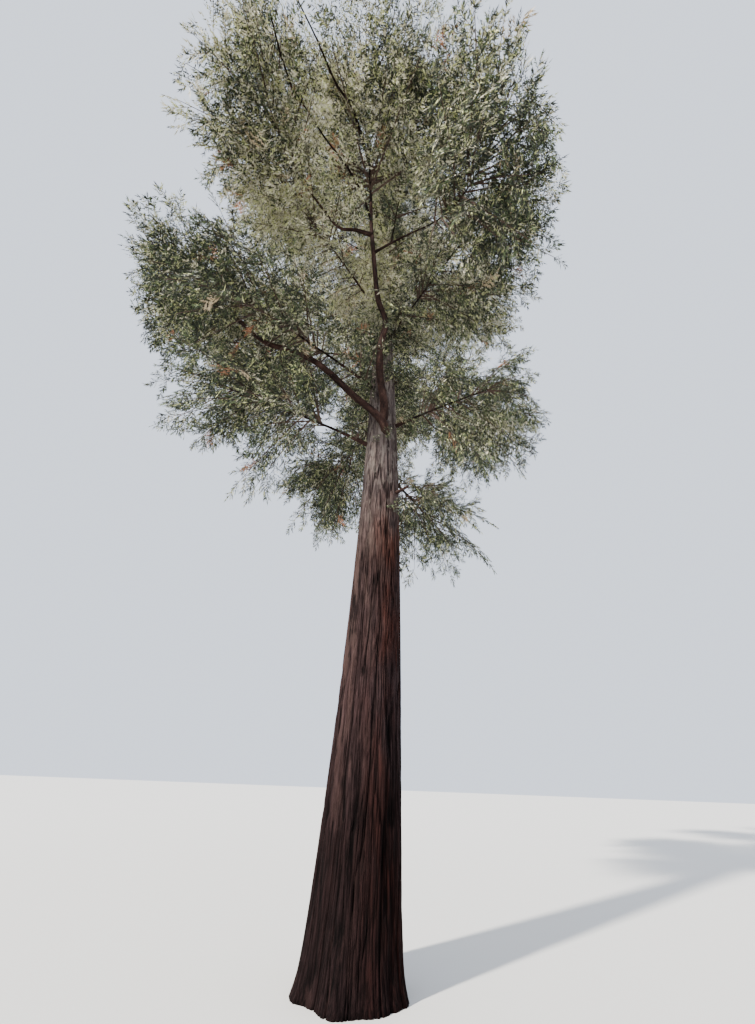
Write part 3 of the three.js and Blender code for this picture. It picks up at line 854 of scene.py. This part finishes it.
def grow_sprays(twigs, local):
    """The sprays on the twigs, alternate along them and one at each tip, as flat arrays."""
    fine = float(fineness(np.mean(twigs["base"][:, 2])))
    reach = twigs["length"][:, None]
    n, m = len(reach), int(SPRAYS_PER_TWIG / fine)
    u = staggered(local, n, m, SPRAYS_FROM, 1.0, SPRAY_STAGGER)
    u[:, -1] = 1.0
    tangent = unit(twigs["ahead"][:, None] - UP * (2 * twigs["droop"][:, None] * u)[..., None])
    roll = twigs["roll"][:, None] + swing(local, (n, m), SPRAY_ROLL)
    across = turned(level_across(tangent), tangent, roll)
    along = leaning(tangent, across, local, (n, m), SPRAY_ANGLES)
    along = drooping(along, local, (n, m), SPRAY_DROOPS)
    flat = tilted(np.cross(tangent, across), along, local, (n, m), SPRAY_TILT)
    swell = lerp(*SPRAY_LENGTHS, np.sin(math.pi * lerp(*SPRAY_SWELL, u)))
    length = fine * swell * picked(local, (n, m), *SPRAY_LENGTH_SPREAD)
    length = length * np.clip(reach / TWIG_FULL_LENGTH, *TWIG_LENGTH_SHARES)
    sprays = {"base": on_arcs(twigs, u), "ahead": along, "flat": flat, "length": length, "share": u}
    sprays["droop"] = np.full((n, m), SPRAY_SAG)
    sprays["twig"] = np.broadcast_to(np.arange(n)[:, None], (n, m))
    return chosen(sprays, local.random((n, m)) < np.clip(reach / TWIG_FULL_COUNT, *TWIG_COUNT_SHARES))


def chosen(arrays, keep):
    return {key: value[keep] for key, value in arrays.items()}


def grow_blades(sprays, local):
    """Three corners and a kind for every needle blade of the sprays."""
    n, m, k = len(sprays["length"]), SHOOTS_PER_SPRAY, BLADES_PER_SHOOT
    shoots, blades = (n, m), (n, m, k)
    length = sprays["length"][:, None]
    along, flat = sprays["ahead"][:, None], sprays["flat"][:, None]
    v = staggered(local, n, m, *SHOOT_SPAN, SHOOT_STAGGER)
    base = on_arcs(sprays, v)
    shoot = leaning(along, flat, local, shoots, SHOOT_ANGLES)
    normal = np.cross(along, flat)
    shoot = shoot + normal * swing(local, shoots, SHOOT_LIFT)[..., None]
    shoot = drooping(shoot, local, shoots, SHOOT_DROOPS)
    shoot_flat = tilted(normal, shoot, local, shoots, SHOOT_TILT)[:, :, None]
    shoot_length = SHOOT_LENGTH * length * (1 - SHOOT_TAPER * v) * picked(local, shoots, *SHOOT_LENGTHS)
    shoot = shoot[:, :, None]
    w = np.arange(k) / (k - 0.5)
    root = base[:, :, None] + shoot * (shoot_length[..., None] * w)[..., None]
    blade = leaning(shoot, shoot_flat, local, blades, BLADE_ANGLES)
    blade = drooping(blade, local, blades, BLADE_DROOPS)
    across = tilted(np.cross(shoot, shoot_flat), blade, local, blades, BLADE_TILT)
    fine = fineness(sprays["base"][:, 2])[:, None]
    size = (fine * np.clip(length / fine / BLADE_FULL_SPRAY, *BLADE_SHARES))[..., None]
    blade_length = (BLADE_LENGTH * size * picked(local, blades, *BLADE_LENGTHS))[..., None]
    half_width = (BLADE_WIDTH / 2 * size * picked(local, blades, *BLADE_WIDTHS))[..., None]
    tip = root + blade * blade_length - UP * (BLADE_CURL * blade_length)
    corners = np.stack([root - across * half_width, root + across * half_width, tip], -2)
    return corners.reshape(-1, 3, 3), deal_kinds(sprays, m, k, local).ravel()


def slim_tubes(arcs, ends, radius, taper):
    """Three-sided tubes along many arcs at once, each as far as its end."""
    points = on_arcs(arcs, np.linspace(0, 1, len(taper)) * ends)
    radii = (radius[0] + radius[1] * arcs["length"])[:, None] * taper
    n, steps = radii.shape
    tangents = unit(np.gradient(points, axis=1))
    across = level_across(tangents)
    up = np.cross(across, tangents)
    angle = np.arange(3) * 2 * math.pi / 3
    ring = across[:, :, None] * np.cos(angle)[:, None] + up[:, :, None] * np.sin(angle)[:, None]
    corners = points[:, :, None] + ring * radii[..., None, None]
    index = np.arange(n * steps * 3).reshape(n, steps, 3)
    low, high = index[:, :-1], index[:, 1:]
    walls = np.stack([low, np.roll(low, -1, 2), np.roll(high, -1, 2), high], -1)
    return corners.reshape(-1, 3), [walls.reshape(-1, 4)]


TRUNK_SPRAYS_FROM = 7.6
TRUNK_SPRAYS_FULL = 9.0
TRUNK_SPRAYS_TO = 24.5
TRUNK_SPRAYS_PER_METRE = 52
TRUNK_SPRAYS_POWER = 1.4
TRUNK_SPRAY_LENGTHS = (0.4, 0.75)
TRUNK_SPRAY_ROOT = 0.02
TRUNK_SPRAY_SWING = 0.9
TRUNK_SPRAY_TILT = 1.2
# How far along them they must not hide a bough
TRUNK_SPRAY_MIDDLE = 0.3
# What a spray has for a twig when it grows on the trunk
NO_TWIG = -2
# Sprigs on the bark below the crown: heading, height and length
SPRIGS = (
    (-1.45, 6.85, 0.3),
    (-1.2, 6.72, 0.26),
    (-1.9, 6.6, 0.24),
    (-0.55, 5.2, 0.34),
    (-0.8, 5.05, 0.3),
    (-1.3, 5.1, 0.22),
    (-0.2, 5.35, 0.3),
    (1.9, 6.1, 0.3),
    (3.0, 6.4, 0.26),
)


def trunk_sprays(local):
    """Sprays that grow straight from the trunk through the crown."""
    low, high = TRUNK_SPRAYS_FROM, TRUNK_SPRAYS_TO
    count = int((high - low) * TRUNK_SPRAYS_PER_METRE)
    z = lerp(low, high, local.random(count) ** TRUNK_SPRAYS_POWER)
    z = z[local.random(count) < np.clip((z - low) / (TRUNK_SPRAYS_FULL - low), 0, 1)]
    heading = local.uniform(-math.pi, math.pi, len(z))
    length = picked(local, len(z), *TRUNK_SPRAY_LENGTHS)
    sprays = sprays_on_trunk(heading, z, length, local)
    return chosen(sprays, ~hides_bough(sprays["base"] + sprays["ahead"] * TRUNK_SPRAY_MIDDLE))


def sprays_on_trunk(heading, z, length, local):
    out = np.stack([np.cos(heading), np.sin(heading), 0 * heading], -1)
    base = trunk_centre(z) + out * (trunk_radius(z) - TRUNK_SPRAY_ROOT)[:, None]
    along = unit(out + swing(local, (len(z), 3), TRUNK_SPRAY_SWING))
    flat = turned(level_across(along), along, swing(local, len(z), TRUNK_SPRAY_TILT))
    sprays = {"base": base, "ahead": along, "flat": flat, "length": length}
    return sprays | {"droop": np.full(len(z), SPRAY_SAG), "twig": np.full(len(z), NO_TWIG)}


# Materials

NOISE_ROUGHNESS = 0.65


class Shading:
    """Short ways to add nodes to a material."""

    def __init__(self, name, roughness, specular):
        self.material = bpy.data.materials.new(name)
        self.material.use_nodes = True
        self.nodes = self.material.node_tree.nodes
        self.links = self.material.node_tree.links
        self.shader = self.nodes["Principled BSDF"]
        self.shader.inputs["Roughness"].default_value = roughness
        self.shader.inputs["Specular IOR Level"].default_value = specular

    @cached_property
    def place(self):
        return self.nodes.new("ShaderNodeTexCoord").outputs["Object"]

    def colour(self, value):
        self.feed(self.shader.inputs["Base Color"], value)

    def feed(self, socket, value):
        """Links an output to a socket, or sets the socket to numbers."""
        if isinstance(value, tuple):
            socket.default_value = (*value, 1)[: len(socket.default_value)]
        elif isinstance(value, (int, float)):
            socket.default_value = value
        else:
            self.links.new(value, socket)

    def add(self, kind, inputs, output=0, **settings):
        """Adds a node with its settings and inputs, and gives its output."""
        node = self.nodes.new("ShaderNode" + kind)
        for name, value in settings.items():
            setattr(node, name, value)
        for socket, value in inputs.items():
            self.feed(node.inputs[socket], value)
        return node.outputs[output]

    def noise(self, scale, stretch, detail):
        """Noise of so many cells to a metre; a small stretch draws them out upwards."""
        scales = (scale, scale, scale * stretch)
        place = self.add("Mapping", {"Vector": self.place, "Scale": scales}, "Vector")
        numbers = {"Scale": 1.0, "Detail": detail, "Roughness": NOISE_ROUGHNESS}
        return self.add("TexNoise", {"Vector": place, **numbers}, "Fac")

    def attribute(self, name):
        return self.add("Attribute", {}, "Fac", attribute_name=name)

    def axis(self, name):
        return self.add("SeparateXYZ", {0: self.place}, name)

    def sum(self, value, factor, rest):
        """value x factor + rest"""
        return self.add("Math", {0: value, 1: factor, 2: rest}, operation="MULTIPLY_ADD")

    def span(self, value, low, high, first, last):
        return self.add("MapRange", dict(enumerate((value, low, high, first, last))))

    def ramp(self, value, stops):
        colour = self.add("ValToRGB", {"Fac": value}, "Color")
        elements = colour.node.color_ramp.elements
        while len(elements) < len(stops):
            elements.new(0.5)
        for element, (position, tone) in zip(elements, stops):
            element.position = position
            element.color = (*tone, 1)
        return colour

    def mix(self, factor, a, b, kind="MIX"):
        return self.add("Mix", {0: factor, 6: a, 7: b}, 2, data_type="RGBA", blend_type=kind)

    def bump(self, height, distance):
        normal = self.add("Bump", {"Height": height, "Distance": distance}, "Normal")
        self.feed(self.shader.inputs["Normal"], normal)

    def patches(self, pattern, low, high, most, *fades):
        """Patches of noise, stronger from low to high, that fade from place to place."""
        amount = self.span(self.noise(*pattern), low, high, 0.0, most)
        for fade in fades:
            amount = self.sum(amount, self.span(*fade), 0.0)
        return amount


def plain_material(name, colour, roughness, specular=0.35):
    look = Shading(name, roughness, specular)
    look.colour(colour)
    return look.material


# Colours from the depth of the relief up to its ridges; the near black deep in the furrows and between the
# scales is painted shade
TRUNK_STOPS = (
    (0.26, (0.004, 0.003, 0.003)),
    (0.44, (0.024, 0.0165, 0.0155)),
    (0.6, (0.074, 0.053, 0.048)),
    (0.8, (0.19, 0.145, 0.13)),
)
BOUGH_STOPS = (
    (0.3, (0.008, 0.0045, 0.004)),
    (0.5, (0.032, 0.0165, 0.0135)),
    (0.8, (0.1, 0.06, 0.048)),
)
TWIG_STOPS = (
    (0.35, (0.034, 0.02, 0.015)),
    (0.65, (0.09, 0.058, 0.043)),
)
# Noise patterns: cells to a metre, how much they are drawn out upwards, and detail
FIBRES = (60, 0.05, 6)
STRANDS = (26, 0.07, 4)
FINE_FIBRES = (150, 0.05, 3)
BOUGH_SCALES = (45, 0.5, 5)
TWIG_TONES = (30, 1.0, 3)
TWIG_GRAIN = (160, 1.0, 2)
# Patterns that show as patches, the noise where they begin and are full, and how strong they are
RED_PATCHES = ((3.0, 0.25, 3), 0.42, 0.62, 1.0)
SUN_FLECK_STREAKS = ((8.0, 0.12, 6), 0.52, 0.58, 0.3)
LICHEN_AND_FLECK_PATCHES = ((9.0, 0.4, 5), 0.52, 0.58, 0.5)
# How much fibres, strands and relief count towards the bark's tone, and what is added; the relief's share
# darkens the furrows with painted shade
FIBRES_WEIGHT = 1.2
STRANDS_WEIGHT = 0.45
RELIEF_SHADE_WEIGHT = 0.42
TRUNK_LEVEL = -0.535
# The redder side: factor on the colour, where it grows across the trunk, and where it fades upwards
RED = (1.45, 0.84, 0.64)
RED_SIDE = (-0.05, 0.3)
RED_FADES = (4.6, 6.2)
# Painted sunlight: paler streaks on the other side, the sun's side, that stand for sun flecks on the bark
SUN_FLECK_COLOUR = (0.55, 0.43, 0.35)
SUN_FLECK_SIDE = (-0.1, 0.25)
# Grey lichen on the upper bark, partly painted sun flecks, and the heights where it starts and is fully
# grown
LICHEN_AND_FLECK_COLOUR = (0.27, 0.225, 0.19)
LICHEN_AND_FLECK_STARTS = (3.6, 6.6)
# Painted shade up the trunk, from the ground to the height on the next line: share of that height and the
# factor on the bark's colour, darkest near the ground and lightened steeply near the fork against the
# crown's shadow
SHADE_RAMP_TOP = 8.0
HEIGHT_SHADE_STOPS = (
    (0.0, (0.052, 0.035, 0.041)),
    (0.12, (0.058, 0.039, 0.045)),
    (0.29, (0.155, 0.118, 0.133)),
    (0.52, (0.175, 0.143, 0.152)),
    (0.72, (0.56, 0.57, 0.6)),
    (1.0, (0.85, 0.9, 0.95)),
)


def trunk_material():
    """Fibrous bark with black furrows of painted shade, redder to one side, with painted sun flecks on the
    other, lichen partly painted as sun flecks, and painted shade low on the trunk.
    """
    look = Shading("trunk_bark", 0.9, 0.06)
    fibres, strands, fine = look.noise(*FIBRES), look.noise(*STRANDS), look.noise(*FINE_FIBRES)
    height = look.sum(fibres, FIBRES_WEIGHT, look.sum(strands, STRANDS_WEIGHT, TRUNK_LEVEL))
    # The relief darkens the furrows: painted shade
    height = look.sum(look.attribute("relief"), RELIEF_SHADE_WEIGHT, height)
    base = look.ramp(height, TRUNK_STOPS)
    across, up = look.axis("X"), look.axis("Z")
    red = look.patches(*RED_PATCHES, (across, *RED_SIDE, 0.1, 1.0), (up, *RED_FADES, 1.0, 0.0))
    base = look.mix(red, base, look.mix(1.0, base, RED, "MULTIPLY"))
    # Painted sun flecks: paler streaks on the sunlit side
    base = look.mix(look.patches(*SUN_FLECK_STREAKS, (across, *SUN_FLECK_SIDE, 1.0, 0.0)), base, SUN_FLECK_COLOUR)
    # Grey lichen high on the trunk, partly painted sun flecks
    base = look.mix(look.patches(*LICHEN_AND_FLECK_PATCHES, (up, *LICHEN_AND_FLECK_STARTS, 0.0, 1.0)), base, LICHEN_AND_FLECK_COLOUR)
    # Painted shade: the bark is darkened most towards the ground and lightened steeply near the fork, where
    # the crown's shadow falls
    height_shade = look.ramp(look.span(up, 0.0, SHADE_RAMP_TOP, 0.0, 1.0), HEIGHT_SHADE_STOPS)
    look.colour(look.mix(1.0, base, height_shade, "MULTIPLY"))
    look.bump(look.sum(fine, 0.4, fibres), 0.02)
    return look.material


def bough_material():
    """Scaly red-brown bark, darker between the scales with painted shade."""
    look = Shading("bough_bark", 0.9, 0.1)
    scales = look.noise(*BOUGH_SCALES)
    # The relief darkens the bark between the scales: painted shade
    height = look.sum(look.attribute("relief"), 0.5, look.sum(scales, 0.6, -0.1))
    look.colour(look.ramp(height, BOUGH_STOPS))
    look.bump(scales, 0.01)
    return look.material


def twig_material():
    """Reddish twigs, darker in places along them."""
    look = Shading("twig_bark", 0.85, 0.3)
    look.colour(look.ramp(look.noise(*TWIG_TONES), TWIG_STOPS))
    look.bump(look.noise(*TWIG_GRAIN), 0.002)
    return look.material


trunk_bark = trunk_material()
bough_bark = bough_material()
twig_bark = twig_material()

# Each kind of spray, its colour, and how often it grows low in the crown and high in it. The deep kind is
# deep green darkened with painted shade, and its large share low in the crown is painted shade too
SPRAY_KINDS = (
    ("needles_deep_painted_shade", (0.022, 0.028, 0.019), 0.66, 0.1),
    ("needles_green", (0.1, 0.133, 0.063), 0.22, 0.06),
    ("needles_olive", (0.19, 0.19, 0.13), 0.05, 0.19),
    # Silvery needles, partly painted highlight
    ("needles_grey_painted_highlight", (0.6, 0.57, 0.43), 0.03, 0.5),
    ("needles_yellow", (0.5, 0.52, 0.25), 0.05, 0.2),
    # Browned needles, painted as if lit from behind: painted backlight
    ("needles_gold_painted_backlight", (0.45, 0.36, 0.23), 0.01, 0.06),
    ("needles_dead", (0.38, 0.18, 0.1), 0.012, 0.03),
)
# How many of them are green, and the plainest of those
GREENS = 5
PLAIN_GREEN = 1
# Heights up to which the kinds are those of the low crown, darker with painted shade, and from which those
# of the high one
KINDS_LOW_AT = 8.3
KINDS_HIGH_AT = 12.0
# The crowded side, the outside and the tip keep the deep kinds of the low crown: where, and how far. On the
# crowded side this is painted shade; on the outside it is painted light, the sunlit outside kept darker and
# the inside paler
KINDS_CROWDED_SHADE = 0.8
KINDS_OUTER = (0.45, 0.95)
KINDS_OUTER_LOSS = 0.45
KINDS_TIP = (14.0, 17.5)
KINDS_TIP_LOSS = 0.9
# Patches of fresher or deeper needles: how strong, the share of that low and high up, and of closer waves
PATCH_STRENGTH = 0.55
PATCH_SHARES = (0.35, 1)
CLOSE_WAVES = 0.6
# How often a spray takes its twig's kind, a green or dry shoot its spray's, and a green blade its shoot's
TWIG_KIND_KEPT = 0.4
SHADE_KEPT = 0.35
DRY_KEPT = 0.7
BLADE_KEPT = 0.5
# The most that is drawn for a whole twig, so that none is dead throughout
TWIG_DRAW_MOST = 0.95
needle_materials = [plain_material(name, colour, 0.6, 0.25) for name, colour, _, _ in SPRAY_KINDS]


def patches(x, y, z):
    """A smooth pattern about zero through the crown, of wide waves and closer ones."""
    wide = np.sin(1.5 * x + 1.9 * z + 0.6) * np.sin(1.7 * y - 1.3 * z + 2.1)
    close = np.sin(3.3 * x - 2.6 * y + 1.2) * np.sin(3.7 * z + 1.9 * y)
    return wide + CLOSE_WAVES * close


def other_greens(kinds, steps, kept, local):
    """The same kinds, some of them exchanged for a green drawn afresh."""
    other = (local.random(kinds.shape)[..., None] > steps[..., :GREENS]).sum(-1).clip(0, GREENS - 1)
    return np.where(local.random(kinds.shape) > kept, other, kinds)


def high_share(x, y, z):
    """How far the kinds of needles are those of the high crown."""
    heading = np.arctan2(y, x)
    crowded = np.maximum(0, np.cos(heading - REACH_LOSS[1])) ** 2
    outward = np.hypot(x, y) / crown_reach(z, heading)
    # Painted shade on the crowded side and low down; the outside kept darker than the inside as painted
    # light
    share = smoothstep(z, KINDS_LOW_AT, KINDS_HIGH_AT) * (1 - KINDS_CROWDED_SHADE * crowded)
    share *= 1 - KINDS_OUTER_LOSS * smoothstep(outward, *KINDS_OUTER)
    share *= 1 - KINDS_TIP_LOSS * smoothstep(z, *KINDS_TIP)
    return np.clip(share + PATCH_STRENGTH * patches(x, y, z) * lerp(*PATCH_SHARES, share), 0, 1)


def deal_kinds(sprays, shoots, blades, local):
    """A kind for each blade of each shoot: by place in the crown, often alike along a twig."""
    low, high = (np.array([kind[i] for kind in SPRAY_KINDS]) for i in (2, 3))
    share = high_share(*sprays["base"].T)[:, None]
    steps = np.cumsum(lerp(low / low.sum(), high / high.sum(), share), 1)
    single = local.random(len(share))
    shared = local.random(np.max(sprays["twig"], initial=0) + 2)[sprays["twig"]] * TWIG_DRAW_MOST
    alike = (local.random(len(share)) < TWIG_KIND_KEPT) & (sprays["twig"] >= 0)
    kinds = (np.where(alike, shared, single)[:, None] > steps).sum(1).clip(0, len(SPRAY_KINDS) - 1)
    kinds = np.where((sprays["twig"] == NO_TWIG) & (kinds >= GREENS), PLAIN_GREEN, kinds)
    kinds = np.broadcast_to(kinds[:, None], (len(kinds), shoots))
    kinds = other_greens(kinds, steps[:, None], np.where(kinds < GREENS, SHADE_KEPT, DRY_KEPT), local)
    kinds = np.broadcast_to(kinds[..., None], (*kinds.shape, blades))
    return other_greens(kinds, steps[:, None, None], np.where(kinds < GREENS, BLADE_KEPT, 1), local)


# Radius of a spray's axis and of a twig: at least, and for each metre of length; then shares along them
AXIS_RADIUS = (0.003, 0.004)
AXIS_TAPER = np.array([1.0, 0.6, 0.1])
TWIG_RADIUS = (0.006, 0.007)
TWIG_TAPER = np.array([1.25, 1.0, 0.75, 0.5, 0.25])
STEM_SIDES = 8
STEM_RINGS = 14
SIDE_LIMB_RINGS = 24
MASS_SEED = 300
TRUNK_SPRAY_SEED = 77


def spray_axes(sprays):
    return slim_tubes(sprays, 1.0, AXIS_RADIUS, AXIS_TAPER)


def grow_mass(one, own):
    """One limb's needles, with a kind for each, and its wood."""
    local = np.random.default_rng(MASS_SEED + own)
    twigs = grow_twigs(one, local)
    sprays = grow_sprays(twigs, local)
    tip = sprays["base"] + sprays["ahead"] * sprays["length"][:, None]
    below = FLOOR_SPREAD * local.random(len(tip)) ** 2
    keep = in_crown(tip, below) & in_crown(sprays["base"], below) & in_space(tip, own)
    keep &= ~hides_bough(lerp(sprays["base"], tip, 0.5)) | (local.random(len(tip)) < BARE_KEPT)
    sprays = chosen(sprays, keep)
    last = np.zeros(len(twigs["length"]))
    np.maximum.at(last, sprays["twig"], sprays["share"])
    wood = slim_tubes(chosen(twigs, last > 0), last[last > 0][:, None], TWIG_RADIUS, TWIG_TAPER)
    return *grow_blades(sprays, local), [wood, spray_axes(sprays)]


def stem_tube(curve, foot_radius, tip_radius, rings):
    t = np.linspace(0, 1, rings)
    return tube(curve.at(t), lerp(foot_radius, tip_radius, t), STEM_SIDES)


def make_foliage():
    """Needles and twigs, joined over neighbouring masses into pieces of limited size."""
    batch, number = [], 1

    def add(name, nodes, mesh, *more):
        add_piece(make_mesh(f"{name}_{number}", *mesh, *more), "foliage", *nodes)

    def close():
        nonlocal batch, number
        blades, kinds, wood, owners = zip(*batch)
        owners = [one for one in owners if one]
        names = [one.name for one in owners]
        nodes = [f"foliage_{name}" for name in names]
        corners = np.concatenate(blades).reshape(-1, 3)
        needles = corners, [np.arange(len(corners)).reshape(-1, 3)]
        stems = [stem_tube(one.stem, one.stem_radius, STEM_TIP_RADIUS, STEM_RINGS) for one in owners]
        for points, name in SIDE_LIMBS:
            if name in names:
                stems.append(stem_tube(Drawn(points), *SIDE_LIMB_RADIUS, SIDE_LIMB_RINGS))
        add("needles", nodes, needles, needle_materials, np.concatenate(kinds))
        add("twigs", nodes, joined(sum(wood, [])), [twig_bark])
        add("stems", nodes, joined(stems), [bough_bark], None, True)
        batch = []
        number += 1

    local = np.random.default_rng(TRUNK_SPRAY_SEED)
    for sprays in (sprays_on_trunk(*np.array(SPRIGS).T, local), trunk_sprays(local)):
        batch.append((*grow_blades(sprays, local), [spray_axes(sprays)], None))
    for own, one in enumerate(limbs):
        mass = grow_mass(one, own)
        if sum(len(blades) for blades, *_ in batch) + len(mass[0]) > PIECE_TRIANGLES:
            close()
        batch.append((*mass, one))
    close()


for part in TRUNK_PARTS:
    make_trunk(*part, trunk_bark)
for number, one in enumerate(limbs):
    if one.bough:
        make_bough(number, one, bough_bark)
make_stub(bough_bark)
make_foliage()

# Stage: a plain floor, a pale sky and a low soft sun
FLOOR_HALF = 200.0
FLOOR_COLOUR = (0.68, 0.665, 0.635)
SKY_COLOUR = (0.8, 0.87, 1.0)
SKY_STRENGTH = 1.6
SUN_STRENGTH = 13
SUN_SIZE = math.radians(3)
SUN_COLOUR = (1.0, 0.95, 0.86)
SUN_HEADING = math.radians(220)
SUN_PITCH = math.radians(27)

floor_corners = FLOOR_HALF * np.array([[-1, -1, 0], [1, -1, 0], [1, 1, 0], [-1, 1, 0]])
floor = make_mesh("floor", floor_corners, [[[0, 1, 2, 3]]], [plain_material("floor", FLOOR_COLOUR, 0.9)])

scene = bpy.context.scene
world = bpy.data.worlds.new("studio")
world.use_nodes = True
scene.world = world
sky = world.node_tree.nodes["Background"]
sky.inputs["Color"].default_value = (*SKY_COLOUR, 1)
sky.inputs["Strength"].default_value = SKY_STRENGTH

sun = bpy.data.lights.new("sun", "SUN")
sun.energy = SUN_STRENGTH
sun.angle = SUN_SIZE
sun.color = SUN_COLOUR
sun_object = add_object("sun", sun)
sun_object.rotation_euler = (math.pi / 2 - SUN_PITCH, 0, SUN_HEADING + math.pi / 2)

# Camera, from the photograph's vanishing points: its place, lens, tilt and roll
CAMERA_PLACE = (0.08, -5.05, 1.45)
CAMERA_FAR = 500
CAMERA_TILT = math.radians(36.3)
CAMERA_ROLL = math.radians(2.2)
FOCAL_PIXELS = 372.0
FRAME_PIXELS = 1024.0
SENSOR = 36.0
camera = bpy.data.cameras.new("camera")
camera.sensor_width = SENSOR
camera.lens = SENSOR * FOCAL_PIXELS / FRAME_PIXELS
camera.clip_end = CAMERA_FAR
camera_object = add_object("camera", camera)
camera_object.matrix_world = (
    Matrix.Translation(CAMERA_PLACE)
    @ Matrix.Rotation(math.pi / 2 + CAMERA_TILT, 4, "X")
    @ Matrix.Rotation(CAMERA_ROLL, 4, "Z")
)
scene.camera = camera_object
